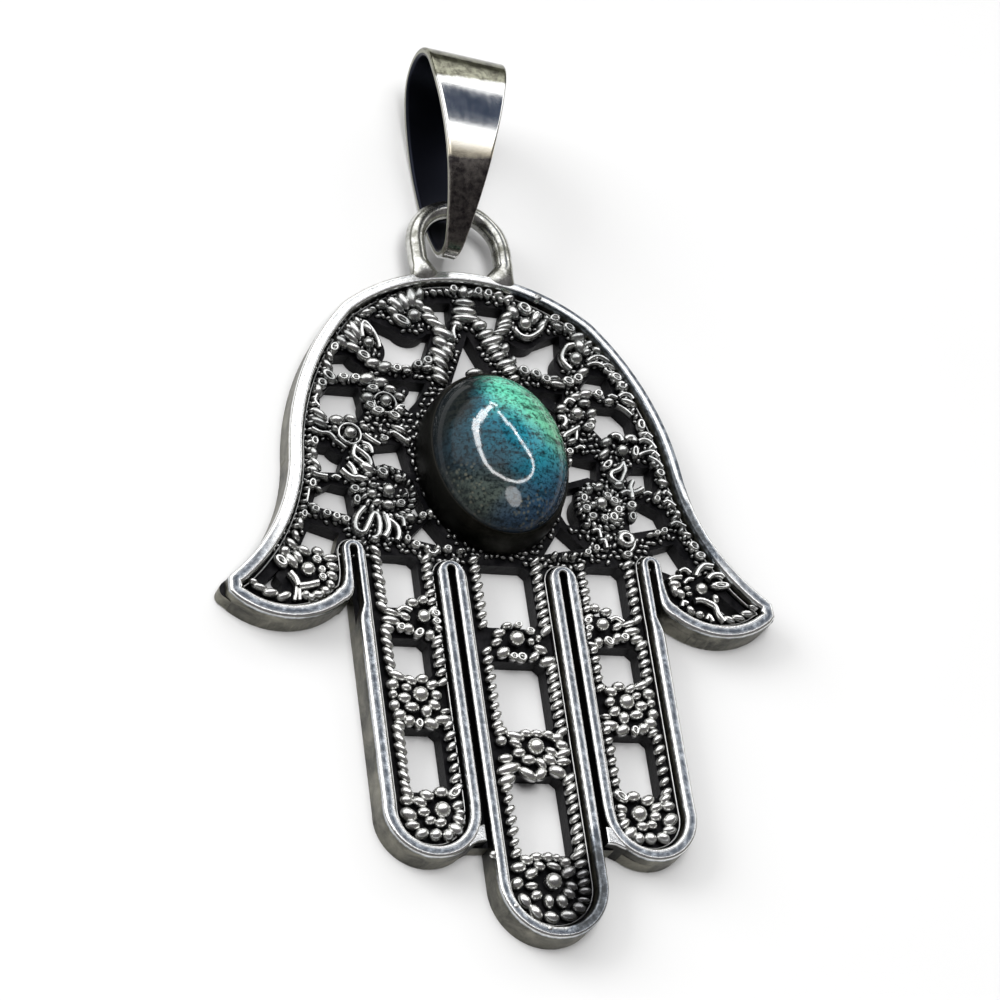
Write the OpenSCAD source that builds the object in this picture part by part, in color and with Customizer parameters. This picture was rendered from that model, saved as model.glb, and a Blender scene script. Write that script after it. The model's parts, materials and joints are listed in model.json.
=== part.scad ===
// Hamsa pendant: an open hand, pierced and cast in one piece with its loop,
// an oval cabochon in a plain bezel and a tapered folded bail.
// The hand lies on its plain back on Z = 0 with its face up, the fingers
// towards -Y and the loop and bail towards +Y. The origin is on the back,
// under the middle of the stone. All sizes are in millimetres.

/* [Stone] */
// Width of the oval stone
stone_w = 8; // [6:0.25:9]
// Length of the oval stone
stone_l = 10; // [8:0.25:11]
// Height of the dome above the edge of the bezel
stone_dome = 2.9; // [1.5:0.1:4]
// Depth of the stone inside the bezel
stone_seat = 0.7; // [0.4:0.05:0.9]
// Play between the stone and its bezel
stone_play = 0.05; // [0.03:0.01:0.1]
// Wall of the bezel
bezel_wall = 0.3; // [0.2:0.05:0.5]
// Height of the bezel's edge above the back
bezel_h = 2.15; // [2:0.05:2.5]

/* [Hand] */
// Width across the thumb tips
thumb_span = 31.4; // [29:0.2:34]
// Width of the palm beside the stone
palm_w = 22.8; // [21.6:0.1:24]
// Height of the dome above the middle of the stone
dome_h = 12.25; // [11.8:0.05:13]
// Radius of the dome
dome_r = 11.45; // [11.2:0.05:11.9]
// Radius of the palm's sides
side_r = 16; // [14:0.5:20]
// Drop of the thumb tips below the middle of the stone
thumb_drop = 7.85; // [7.4:0.05:8.2]
// Radius of the underside of a thumb
thumb_r = 4.6; // [4.2:0.1:5.2]
// Lowest point of a thumb below the middle of the stone
thumb_low = 9.7; // [9.4:0.05:10.2]
// Width across the three fingers
finger_span = 17.2; // [16.9:0.1:17.7]
// Width of the middle finger
mid_w = 6; // [5.6:0.1:6.4]
// Length of the middle finger below the middle of the stone
mid_l = 26.7; // [25:0.1:29]
// Length of an outer finger below the middle of the stone
out_l = 22.55; // [21:0.1:24]

/* [Relief] */
// Thickness of the hand over its raised rim
face_h = 1.7; // [1.5:0.05:2]
// Thickness of the sunk ground inside the rim
ground_h = 0.95; // [0.7:0.05:1.1]
// Width of the raised rim
rim_w = 0.7; // [0.6:0.05:0.8]
// Width of a rib between two fingers
rib_w = 0.6; // [0.5:0.05:0.65]
// Width of the groove between two ribs
groove_w = 0.35; // [0.25:0.05:0.45]
// Depth of the groove between two ribs
groove_d = 0.6; // [0.3:0.05:0.7]
// Width of the channel beside the rim
channel_w = 0.25; // [0.2:0.05:0.3]
// Width of the rope border
rope_w = 0.5; // [0.4:0.05:0.55]
// Height of the rope border above the ground
rope_h = 0.45; // [0.3:0.05:0.6]
// Radius of a rosette's middle ball
ball_r = 0.4; // [0.3:0.02:0.44]
// Height of a rosette's petals above the ground
petal_h = 0.5; // [0.3:0.05:0.6]
// Radius of a rosette's petals
petal_r = 0.24; // [0.18:0.02:0.28]
// Width of the broad struts above the stone
strut_w = 0.9; // [0.7:0.05:1]
// Width of the thin struts
swag_w = 0.45; // [0.35:0.05:0.55]

/* [Loop] */
// Radius of the loop to the middle of its wire
loop_r = 2.55; // [2.5:0.05:2.8]
// Radius of the loop's wire
loop_wire_r = 0.55; // [0.5:0.01:0.57]
// Height of the loop's middle above the back
loop_z = 1.52; // [1.5:0.02:1.6]
// Distance from the dome's top to the loop's middle
loop_rise = 1.5; // [1.45:0.05:1.8]

/* [Bail] */
// Length of the bail
bail_l = 12.5; // [11.5:0.1:14]
// Depth of the bail from front to back
bail_d = 6.1; // [5.8:0.05:6.4]
// Outer radius of the bail's lower bend
bail_low_r = 1.4; // [1.3:0.05:1.6]
// Outer radius of the bail's upper bend
bail_top_r = 2.45; // [2.1:0.05:2.6]
// Thickness of the bail's strip
bail_t = 0.48; // [0.4:0.01:0.5]
// Width of the strip at the upper bend
bail_top_w = 5; // [4:0.1:5.4]
// Width of the strip at the lower bend
bail_low_w = 0.9; // [0.7:0.05:1]
// Turn of the lying bail about the vertical
bail_yaw = 7; // [4:0.5:8]
// Slope of the lying bail
bail_pitch = 7.5; // [6.5:0.5:8.5]
// Distance of the bail's lower end left of the loop's middle
bail_off = 0.95; // [0.8:0.05:1.05]
// Distance from the dome's top to the bail's lower end
bail_gap = 0.42; // [0.35:0.01:0.5]

/* [Hidden] */
$fn = 96;
FINE = 24;       // sides of a small circle
BIG = 240;       // sides of a large arc
EPS = 0.02;      // overlap of stacked solids
FAR = 60;        // longer than any side
ROOT = 0.3;      // how deep the relief is let into the ground
LEDGE = 0.07;    // ground left beside a strut over an opening

// Arcs of the outline. The flare passes the corner of the thumb and touches
// the palm's side arc, so the outline has no step at any inset.
tip_r = 0.5;
tip_x = thumb_span / 2 + 0.4 * tip_r;
side_y = -1.05;
side_x = palm_w / 2 - side_r;
flare_y = 1;
flare_e = flare_y + thumb_drop;
flare_f = flare_y - side_y;
flare_m = (tip_x - side_x) / side_r;
flare_n = (pow(side_x, 2) - pow(tip_x, 2) + pow(flare_f, 2)
        - pow(flare_e, 2) - pow(side_r, 2)) / (2 * side_r);
flare_s = tip_x + flare_m * flare_n;
flare_q = 1 - pow(flare_m, 2);
flare_c = pow(tip_x, 2) + pow(flare_e, 2) - pow(flare_n, 2);
flare_x = (flare_s - sqrt(pow(flare_s, 2) - flare_q * flare_c)) / flare_q;
flare_r = flare_m * flare_x + flare_n;
thumb_y = thumb_r - thumb_low;
thumb_x = tip_x - sqrt(pow(thumb_r, 2) - pow(thumb_drop + thumb_y, 2));

// Fingers
mid_r = mid_w / 2;
finger_x = finger_span / 2;
out_in = mid_r + groove_w;
out_r = (finger_x - out_in) / 2;
mid_y = mid_r - mid_l;
out_y = out_r - out_l;
out_foot = out_l - 0.8;  // the inner rib of an outer finger ends square here

// Hairpins: the long pair parts the fingers, the short pair the thumbs
pin_x = mid_r + groove_w / 2;
pin_r = groove_w / 2 + rib_w;
pin_y = -5.9 - pin_r;
short_leg = 0.4;
short_r = groove_w / 2 + short_leg;
short_x = finger_x - rim_w + short_r;
short_y = -5 - short_r;
short_foot = -8.2;
rope_root = -5.2;        // where the rope borders of the fingers begin

// Measures of the palm's pattern grow with the palm
kx = palm_w / 22.8;
ky = dome_h / 12.25;
k_mid = mid_l / 26.7;
k_out = out_l / 22.55;
X = 0; Y = 1; RING = 2; DISC = 3; COUNT = 4;
function at(p) = [p[X] * kx, p[Y] > 0 ? p[Y] * ky : p[Y]];
function along(p, k) = [p[X], p[Y] * k];

// Rosettes of one half: x, y, radius of the petal ring, of the disc, petals
PALM_ROSES = [
  [3.3, 9.1, 0.85, 1.2, 8],
  [6.1, 7.05, 0.8, 1.2, 8],
  [5.6, 3.5, 0.85, 1.2, 8],
  [7.85, 1.4, 0.85, 1.2, 8],
  [6.05, -2.0, 1.0, 1.35, 9],
  [11.1, -6.85, 0.9, 1.25, 8]
];
MID_ROSES = [[0, -10.35, 0.66, 0.95, 7], [0, -16.35, 0.75, 1.05, 7], [0, -23.7, 1.0, 1.3, 9]];
OUT_ROSES = [[5.15, -9.35, 0.6, 0.85, 6], [5.85, -13.75, 0.82, 1.15, 8], [5.55, -19.95, 0.9, 1.2, 8]];

// Struts of one half: their points, and their width
CROWN = [[[0.65, 8.9], [2.4, 5.0]]];
SWAGS = [
  [[3.3, 9.1], [2.3, 9.3], [1.7, 8.2]],
  [[6.2, 6.0], [5.4, 5.6], [4.4, 5.6], [3.5, 5.9], [2.8, 6.2], [2.2, 5.9]],
  [[9.3, 4.85], [6.1, 4.85]],
  [[5.6, 3.5], [4.2, 4.6]],
  [[7.85, 1.4], [5.6, 3.5]],
  [[7.6, 0.6], [6.7, -0.9]],
  [[7.8, 0.4], [8.3, -1.0], [10.3, -1.1]],
  [[10.7, -3.1], [8.6, -3.85]],
  [[5.6, -3.3], [5.5, -4.7]],
  [[6.6, -3.3], [6.7, -4.8]],
  [[7.4, -3.0], [7.8, -4.5]],
  [[1.8, -5.5], [4.4, -5.3], [7.6, -4.9]],
  [[11.75, -7.75], [11.75, -8.6]],
  [[11.75, -7.75], [12.3, -7.0]]
];

// Openings of one half, corner by corner
PALM_GAPS = [
  [[2.4, 10.4], [0.75, 10.5], [0.8, 9.6], [1.2, 8.7], [2.0, 9.2]],
  [[5.6, 9.0], [5.4, 7.2], [5.5, 6.0], [3.5, 6.1], [2.8, 6.6], [2.1, 8.4], [3.8, 8.2]],
  [[5.2, 5.2], [2.9, 5.2], [3.3, 4.3], [4.1, 3.4], [5.0, 4.2]],
  [[8.1, 6.5], [7.0, 6.6], [6.4, 5.8], [6.4, 5.1], [8.4, 5.1]],
  [[9.2, 2.3], [9.05, 3.9], [8.4, 4.6], [6.8, 4.6], [6.6, 3.2], [7.4, 2.2]],
  [[6.6, 1.0], [4.7, 1.3], [4.4, -0.5], [5.9, 0.0], [6.4, -0.2]],
  [[5.3, -0.6], [4.3, -0.9], [3.9, -2.4], [4.2, -3.0], [4.9, -3.1], [4.9, -2.0]],
  [[9.8, 0.9], [8.5, 0.8], [8.1, 0.2], [8.5, -0.8], [9.7, -0.9]],
  [[10.2, -2.8], [9.9, -1.9], [9.0, -1.4], [8.0, -1.6], [7.9, -3.3]],
  [[5.0, -4.4], [3.8, -3.2], [2.6, -4.9]],
  [[11.2, -5.4], [10.4, -3.8], [8.9, -4.3], [9.3, -5.5], [10.1, -5.8]]
];
THUMB_GAP = [[12.3, -6.5], [13.7, -7.9], [12.4, -8.0]];
CROWN_GAP = [[0, 8.5], [1.35, 5.3], [-1.35, 5.3]];

// Openings of the fingers: y of the lower and the upper edge
MID_GAPS = [[-9.4, -5.75], [-15.3, -11.35], [-22.1, -17.75]];
OUT_GAPS = [[-8.5, -5.45], [-12.6, -10.25], [-18.8, -15.3]];

// Bezel
bezel_a = stone_w / 2 + stone_play + bezel_wall;
bezel_b = stone_l / 2 + stone_play + bezel_wall;
seat_z = bezel_h - stone_seat - stone_play;

// Loop
loop_y = dome_h + loop_rise;
loop_foot = 0.6;        // how far the loop's ends run into the dome's rim

// Bail: its side is two end circles joined by two large arcs that touch them.
// u runs up the bail and w from its middle plane to the front.
bail_h = bail_d / 2;
low_u = bail_low_r;
top_u = bail_l - bail_top_r;
low_k = 1 / (2 * (bail_h - bail_low_r));
top_k = 1 / (2 * (bail_h - bail_top_r));
quad_a = low_k - top_k;
quad_b = 2 * (top_k * top_u - low_k * low_u);
quad_c = low_k * pow(low_u, 2) - top_k * pow(top_u, 2) + (bail_low_r - bail_top_r) / 2;
belly_u = (sqrt(pow(quad_b, 2) - 4 * quad_a * quad_c) - quad_b) / (2 * quad_a);
belly_w = low_k * pow(belly_u - low_u, 2) - (bail_h - bail_low_r) / 2;
belly_r = bail_h + belly_w;
bail_z = belly_r - belly_w * cos(bail_pitch) - belly_u * sin(bail_pitch) + EPS;

module both() {
  children();
  mirror([1, 0]) children();
}

// Round-ended bar from p to q
module bar(p, q, w) {
  d = q - p;
  translate(p) rotate(atan2(d[Y], d[X])) {
    translate([0, -w / 2]) square([norm(d), w]);
    circle(d = w, $fn = FINE);
    translate([norm(d), 0]) circle(d = w, $fn = FINE);
  }
}

module strand(pts, w) {
  for (i = [0 : len(pts) - 2]) bar(at(pts[i]), at(pts[i + 1]), w);
}

module oval(a, b) {
  scale([a, b]) circle(1);
}

// Dome and palm down to where the side arc meets the flare, inset by d
function side_end(d) = [side_x, side_y]
  + (side_r - d) / (side_r + flare_r) * [flare_x - side_x, flare_y - side_y];

module palm_2d(d) {
  intersection() {
    translate([0, dome_h - dome_r]) circle(dome_r - d, $fn = BIG);
    translate([-side_x, side_y]) circle(side_r - d, $fn = BIG);
    translate([side_x, side_y]) circle(side_r - d, $fn = BIG);
    translate([-FAR / 2, side_end(d)[Y]]) square([FAR, FAR]);
  }
}

// Everything between the palm and the level y = low, bounded by the flare
module waist_2d(d, low) {
  e = side_end(d);
  difference() {
    polygon([[0, low], [0, e[Y]], e, [flare_x, flare_y], [flare_x, low]]);
    translate([flare_x, flare_y]) circle(flare_r + d, $fn = BIG);
  }
}

// A thumb below its middle, right of x = left
module thumb_2d(d, left) {
  intersection() {
    waist_2d(d, -thumb_low - 1);
    translate([thumb_x, thumb_y]) circle(thumb_r - d, $fn = BIG);
    translate([left, -FAR / 2]) square([tip_x - 0.85 * tip_r - left, FAR / 2 + thumb_y + EPS]);
  }
}

module finger_2d(x0, x1, y) {
  r = (x1 - x0) / 2;
  translate([x0, y]) square([2 * r, rope_root - y]);
  translate([x0 + r, y]) circle(r);
}

module outline_2d() {
  palm_2d(0);
  finger_2d(-mid_r, mid_r, mid_y);
  both() {
    intersection() {
      waist_2d(0, thumb_y);
      square([FAR, FAR], center = true);
    }
    thumb_2d(0, finger_x - 0.5);
    translate([tip_x - 1.4 * tip_r, -thumb_drop - 0.1]) circle(tip_r);
    translate([0, short_foot - 0.3]) square([finger_x, FAR / 10]);
    finger_2d(out_in, finger_x, out_y);
    translate([out_in, -out_foot]) square([out_r / 3, out_foot - 6]);
    translate([pin_x - groove_w, -out_foot]) square([2 * groove_w, out_foot - 6]);
  }
}

// Ground inside the rim, inset by d, with the fingers parting below y = root
module ground_2d(d, root) {
  s = d - rim_w + rib_w;
  palm_2d(d);
  finger_2d(s - mid_r, mid_r - s, mid_y);
  both() {
    waist_2d(d, short_y);
    thumb_2d(d, short_x + short_r + d - rim_w);
    difference() {
      translate([short_x + short_r + d - rim_w, thumb_y - EPS])
        square([tip_x - d - 3 * tip_r - short_x - short_r, short_y - thumb_y + 2 * EPS]);
      translate([flare_x, flare_y]) circle(flare_r + d, $fn = BIG);
    }
    translate([0, root]) square([finger_x - d, short_y - root + EPS]);
    finger_2d(out_in + s, finger_x - d, out_y);
  }
}

module hairpins_2d() {
  both() {
    translate([pin_x, pin_y]) circle(pin_r);
    translate([short_x, short_y]) circle(short_r);
  }
}

module pocket_2d() {
  difference() {
    ground_2d(rim_w, pin_y);
    hairpins_2d();
    both() translate([short_x - short_r, short_foot - 1]) square([2 * short_r, short_y - short_foot + 1]);
  }
}

module rope_2d() {
  outer = rim_w + channel_w;
  difference() {
    ground_2d(outer, rope_root);
    ground_2d(outer + rope_w, rope_root);
  }
}

module grooves_2d() {
  both() {
    translate([pin_x - groove_w / 2, -FAR]) square([groove_w, FAR + pin_y + rib_w / 2]);
    translate([pin_x, pin_y + rib_w / 2]) circle(groove_w / 2);
    bar([short_x, short_y], [short_x, short_foot], groove_w);
    bar([short_x, short_foot], [short_x + 1.2, short_foot - 1.7], groove_w);
  }
}

module crown_2d() {
  translate([-0.55, 9 * ky]) square([1.1, dome_h - 9 * ky - rim_w - channel_w - EPS]);
  both() strand(CROWN[0], strut_w);
}

module swags_2d() {
  both() for (s = SWAGS) strand(s, swag_w);
}

// Every rosette as [x, y, ring, disc, count], left halves mirrored
function palm_rose(r) = concat(at(r), [r[RING], r[DISC], r[COUNT]]);
function finger_rose(r, k) = concat(along(r, k), [r[RING], r[DISC], r[COUNT]]);
HALF_ROSES = concat([for (r = PALM_ROSES) palm_rose(r)], [for (r = OUT_ROSES) finger_rose(r, k_out)]);
ROSES = concat(HALF_ROSES, [for (r = HALF_ROSES) [-r[X], r[Y], r[RING], r[DISC], r[COUNT]]],
               [for (r = MID_ROSES) finger_rose(r, k_mid)]);

module discs_2d() {
  for (r = ROSES) translate([r[X], r[Y]]) circle(r[DISC], $fn = 36);
}

module petals_2d() {
  for (r = ROSES) translate([r[X], r[Y]])
    for (i = [0 : r[COUNT] - 1]) rotate(90 + i * 360 / r[COUNT])
      translate([r[RING], 0]) circle(petal_r, $fn = FINE);
}

// Window of a finger with its corners cut
module window(half, low, high, c) {
  polygon([[-half, low + c], [-half + c, low], [half - c, low], [half, low + c],
           [half, high - c], [half - c, high], [-half + c, high], [-half, high - c]]);
}

module gaps_2d() {
  difference() {
    union() {
      both() {
        for (g = PALM_GAPS) polygon([for (p = g) at(p)]);
        polygon([for (p = THUMB_GAP) at(p)]);
        for (g = OUT_GAPS) translate([(out_lo + out_hi) / 2, 0])
          window((out_hi - out_lo) / 2, g[0] * k_out, g[1] * k_out, 0.3);
      }
      polygon([for (p = CROWN_GAP) at(p)]);
      for (g = MID_GAPS) window(mid_half, g[0] * k_mid, g[1] * k_mid, 0.3);
    }
    oval(bezel_a + LEDGE, bezel_b + LEDGE);
    translate([-0.62, 9 * ky]) square([1.24, dome_h]);
    both() {
      strand(CROWN[0], strut_w + 2 * LEDGE);
      for (s = SWAGS) strand(s, swag_w + 2 * LEDGE);
    }
    petals_keep_2d();
  }
}
// Free half width between the ropes of the middle finger, and of an outer one
rope_in = rib_w + channel_w + rope_w + LEDGE;
mid_half = mid_r - rope_in;
out_lo = out_in + rope_in;
out_hi = finger_x - rim_w - channel_w - rope_w - LEDGE;

module petals_keep_2d() {
  for (r = ROSES) translate([r[X], r[Y]]) circle(r[RING] + petal_r + LEDGE, $fn = 36);
}

module plate() {
  difference() {
    linear_extrude(face_h) difference() {
      outline_2d();
      gaps_2d();
    }
    translate([0, 0, ground_h]) linear_extrude(face_h) pocket_2d();
    translate([0, 0, face_h - groove_d]) linear_extrude(face_h) grooves_2d();
  }
}

module relief() {
  translate([0, 0, ground_h - ROOT]) {
    linear_extrude(ROOT + rope_h) rope_2d();
    linear_extrude(ROOT + petal_h) petals_2d();
    linear_extrude(ROOT + petal_h + 0.06) crown_2d();
    linear_extrude(ROOT + petal_h - 0.07) swags_2d();
  }
  for (r = ROSES) translate([r[X], r[Y], ground_h + petal_h - ball_r / 3]) sphere(ball_r, $fn = FINE);
}

module bezel() {
  difference() {
    translate([0, 0, ground_h - ROOT]) linear_extrude(bezel_h - ground_h + ROOT)
      oval(bezel_a, bezel_b);
    translate([0, 0, seat_z]) linear_extrude(bezel_h)
      oval(bezel_a - bezel_wall, bezel_b - bezel_wall);
  }
}

module loop() {
  translate([0, loop_y, loop_z]) {
    rotate_extrude(angle = 180) translate([loop_r, 0]) circle(loop_wire_r, $fn = 48);
    both3() translate([loop_r, 0, 0]) rotate([90, 0, 0])
      cylinder(r = loop_wire_r, h = loop_foot + loop_rise + dome_r - sqrt(pow(dome_r, 2) - pow(loop_r, 2)), $fn = 48);
  }
}

module both3() {
  children();
  mirror([1, 0, 0]) children();
}

module hamsa_hand() {
  color([0.55, 0.55, 0.53]) union() {
    plate();
    relief();
    bezel();
    loop();
  }
}

module cabochon() {
  color([0.12, 0.30, 0.36]) translate([0, 0, seat_z + stone_play]) intersection() {
    scale([stone_w / 2, stone_l / 2, stone_dome + stone_seat]) sphere(1, $fn = BIG / 2);
    translate([-stone_w, -stone_l, 0]) cube([2 * stone_w, 2 * stone_l, FAR]);
  }
}

// Side of the bail in u and w, drawn in by t
module bail_side(t) {
  u0 = low_u - (bail_low_r - t) * (belly_u - low_u) / (belly_r - bail_low_r);
  u1 = top_u + (bail_top_r - t) * (top_u - belly_u) / (belly_r - bail_top_r);
  translate([low_u, 0]) circle(bail_low_r - t);
  translate([top_u, 0]) circle(bail_top_r - t);
  intersection() {
    translate([belly_u, belly_w]) circle(belly_r - t, $fn = BIG);
    translate([belly_u, -belly_w]) circle(belly_r - t, $fn = BIG);
    translate([u0, -bail_h]) square([u1 - u0, bail_d]);
  }
}

module bail() {
  color([0.62, 0.62, 0.6])
    translate([-bail_off, dome_h + bail_gap, bail_z]) rotate([bail_pitch, 0, -bail_yaw])
      intersection() {
        rotate([90, 0, 90]) linear_extrude(bail_top_w, center = true) difference() {
          bail_side(0);
          bail_side(bail_t);
        }
        translate([0, 0, -bail_h - 1]) linear_extrude(bail_d + 2)
          polygon([[-bail_low_w / 2, -EPS], [bail_low_w / 2, -EPS],
                   [bail_top_w / 2, bail_l + EPS], [-bail_top_w / 2, bail_l + EPS]]);
      }
}

hamsa_hand();
cabochon();
bail();
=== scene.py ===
"""Hamsa pendant of oxidised cast silver with an oval cabochon and a folded bail.

The pendant lies on its plain back on a pale surface. The origin is on the
back, under the middle of the stone: +X to the right, +Y from the fingers
towards the bail and +Z out of the face. Sizes in the tables are millimetres
and are turned into metres where a mesh is made.
"""

import json
import logging
import math
import random
from dataclasses import dataclass, field
from enum import Enum

import bmesh
import bpy
from mathutils import Matrix, Vector
from mathutils.bvhtree import BVHTree

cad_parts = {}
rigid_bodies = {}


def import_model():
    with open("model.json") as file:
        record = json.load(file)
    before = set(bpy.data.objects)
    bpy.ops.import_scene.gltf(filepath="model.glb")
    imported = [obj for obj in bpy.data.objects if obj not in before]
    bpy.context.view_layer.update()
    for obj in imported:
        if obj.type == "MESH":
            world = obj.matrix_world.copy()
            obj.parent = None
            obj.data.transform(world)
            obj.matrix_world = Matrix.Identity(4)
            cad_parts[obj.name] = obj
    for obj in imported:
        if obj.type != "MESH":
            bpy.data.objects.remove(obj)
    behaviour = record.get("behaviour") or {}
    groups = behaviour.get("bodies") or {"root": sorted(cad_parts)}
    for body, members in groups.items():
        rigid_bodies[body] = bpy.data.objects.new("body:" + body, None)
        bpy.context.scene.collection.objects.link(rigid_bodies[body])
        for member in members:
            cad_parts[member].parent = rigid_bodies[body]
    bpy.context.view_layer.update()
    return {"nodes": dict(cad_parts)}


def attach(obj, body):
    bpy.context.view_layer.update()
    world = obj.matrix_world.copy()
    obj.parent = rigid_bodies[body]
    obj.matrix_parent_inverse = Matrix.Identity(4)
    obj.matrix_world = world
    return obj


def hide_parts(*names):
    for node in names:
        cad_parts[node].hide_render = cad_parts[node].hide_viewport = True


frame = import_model()

LOG = logging.getLogger("hamsa")
MM = 0.001

Point = tuple[float, float]
Station = tuple[float, float, float]
Piece = bpy.types.Object
Socket = bpy.types.NodeSocket
Amount = Socket | float
Tint = Socket | tuple

SOCKET_KINDS = {bool: "NodeSocketBool", int: "NodeSocketInt", float: "NodeSocketFloat"}


class Body(Enum):
    """The two bodies of the pendant."""

    HAND = "hand"
    BAIL = "bail"


class Finish(Enum):
    """The record's material slots."""

    OXIDISED = "oxidised_silver"
    STONE = "blue_stone"
    POLISHED = "polished_silver"


# ------------------------------------------------- places on the hand's face
# Leaves and beads: both ends and the width. Rings: middle, half length, half
# width and turn in degrees. Wires: radius and course. All in millimetres.

Leaf = tuple[float, float, float, float, float]
Ring = tuple[float, float, float, float, float]
Wire = tuple[float, list[Point]]

CROWN_LEAVES: list[Leaf] = [
    (0, 11.35, 0, 10.85, .42), (-.5, 10.4, .5, 10.35, .34), (-.68, 9.85, .5, 9.8, .38),
    (-.75, 9.4, .75, 9.35, .28), (.45, 8.95, .95, 9.05, .42), (-.85, 9.0, -.5, 8.75, .3),
    (-.4, 5.85, .35, 5.95, .34), (-2.0, 8.5, -1.0, 7.95, .42), (-2.05, 7.85, -1.5, 7.45, .42),
    (-1.5, 7.6, -1.1, 7.35, .26), (-1.75, 7.35, -1.3, 6.85, .34), (-2.35, 7.2, -1.55, 6.6, .34),
    (-2.3, 6.65, -1.7, 6.05, .36), (-2.4, 6.0, -1.75, 5.45, .3), (-2.5, 5.5, -1.8, 5.1, .26),
    (.6, 8.3, 1.4, 8.65, .34), (.75, 7.85, 1.9, 8.3, .38), (1.0, 7.4, 1.65, 7.7, .32),
    (1.9, 7.45, 2.1, 7.85, .32), (1.2, 6.95, 1.9, 7.25, .32), (1.45, 6.5, 2.45, 6.85, .36),
    (2.35, 6.7, 2.4, 7.1, .24), (1.75, 6.1, 2.45, 6.4, .34), (2.05, 5.65, 2.5, 5.8, .28),
]
TOP_LEAVES: list[Leaf] = [
    (-3.2, 10.95, -3.15, 10.0, .5), (-3.85, 10.6, -3.5, 9.7, .36), (-4.5, 10.3, -3.8, 9.5, .34),
    (-4.62, 9.6, -4.15, 9.25, .24), (-2.6, 11.05, -2.7, 10.4, .36), (-2.95, 10.2, -2.6, 9.85, .34),
    (-2.6, 9.8, -2.05, 9.5, .3), (-2.6, 9.3, -1.85, 9.1, .3), (-2.4, 9.05, -1.4, 8.6, .26),
    (-5.1, 9.95, -4.8, 9.7, .3), (2.7, 10.3, 2.95, 9.8, .42), (2.15, 9.6, 2.65, 9.85, .34),
    (1.85, 9.15, 2.6, 9.45, .28), (1.75, 8.88, 2.6, 9.15, .24), (1.5, 8.6, 2.4, 8.82, .22),
    (4.35, 10.15, 3.95, 9.5, .3), (4.7, 9.65, 4.3, 9.15, .3), (2.45, 10.85, 3.0, 11.05, .3),
    (.25, 10.85, .55, 11.2, .26), (1.9, 11.1, 2.3, 11.15, .26), (5.2, 9.45, 5.6, 9.2, .24),
]
SHELL_LEAVES: list[Leaf] = [
    (-6.98, 8.55, -6.5, 7.5, .3), (-7.4, 7.9, -6.7, 7.2, .28), (-7.85, 7.45, -7.35, 6.95, .34),
    (-7.3, 7.05, -6.6, 6.7, .32), (-6.15, 8.4, -5.75, 7.85, .22), (-6.65, 8.8, -6.4, 8.3, .2),
    (-6.2, 9.1, -5.6, 9.3, .24), (-7.2, 8.25, -7.0, 7.95, .2), (6.5, 8.45, 6.62, 7.95, .44),
    (6.25, 8.75, 7.0, 8.9, .36), (6.98, 8.3, 7.38, 8.5, .28), (6.78, 7.75, 7.1, 7.92, .28),
    (7.4, 8.12, 7.82, 7.85, .28), (6.3, 6.42, 6.75, 6.62, .34), (5.65, 8.05, 6.1, 8.2, .26),
    (-6.2, 6.0, -5.6, 6.02, .38), (-5.5, 5.8, -5.0, 5.85, .46), (-4.3, 5.86, -3.75, 5.82, .2),
    (-4.2, 5.62, -3.75, 5.58, .17), (-3.05, 5.95, -2.5, 5.98, .2), (4.4, 5.95, 5.0, 5.93, .2),
    (4.4, 5.62, 5.2, 5.5, .24),
]
SIDE_LEAVES: list[Leaf] = [
    (-8.5, 6.45, -8.25, 5.95, .22), (-8.75, 5.9, -8.35, 5.35, .26), (-9.25, 4.3, -9.25, 3.8, .32),
    (-9.68, 2.85, -9.0, 2.3, .28), (-9.8, 2.25, -9.05, 1.88, .28), (-10.0, .4, -9.85, -.05, .28),
    (-10.1, -.15, -9.65, -.8, .2), (-10.2, -.75, -9.9, -1.05, .3), (-10.55, -2.95, -10.05, -3.05, .18),
    (-11.15, -3.8, -11.1, -4.3, .24), (-11.5, -4.55, -11.35, -5.05, .22),
    (-11.95, -5.05, -11.5, -5.55, .26), (-8.65, 2.3, -8.1, 2.25, .38), (-7.85, 2.5, -7.35, 2.3, .26),
    (-8.65, 1.85, -8.5, 1.6, .2), (-7.05, 2.05, -6.7, 1.8, .2), (-7.1, .72, -6.88, .5, .15),
    (-7.3, -.3, -6.75, -.7, .36), (-6.65, 4.95, -6.1, 5.0, .5), (-5.9, 4.85, -5.3, 4.85, .34),
    (8.55, 5.95, 9.0, 5.9, .28), (8.6, 4.95, 9.45, 4.55, .22), (9.75, 1.0, 9.9, .8, .2),
    (10.0, -.1, 10.5, -.35, .28), (9.95, -.75, 9.65, -1.15, .2), (10.7, -1.95, 10.85, -2.3, .25),
    (10.9, -3.3, 11.4, -3.5, .2), (7.0, 2.0, 7.4, 2.25, .35), (6.7, 1.15, 7.2, 1.6, .28),
    (7.3, -.55, 7.7, -.55, .35), (7.6, 4.75, 8.0, 4.7, .26), (8.95, 6.0, 9.0, 5.6, .2),
    (-10.0, -1.9, -9.75, -2.15, .14),
]
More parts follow.
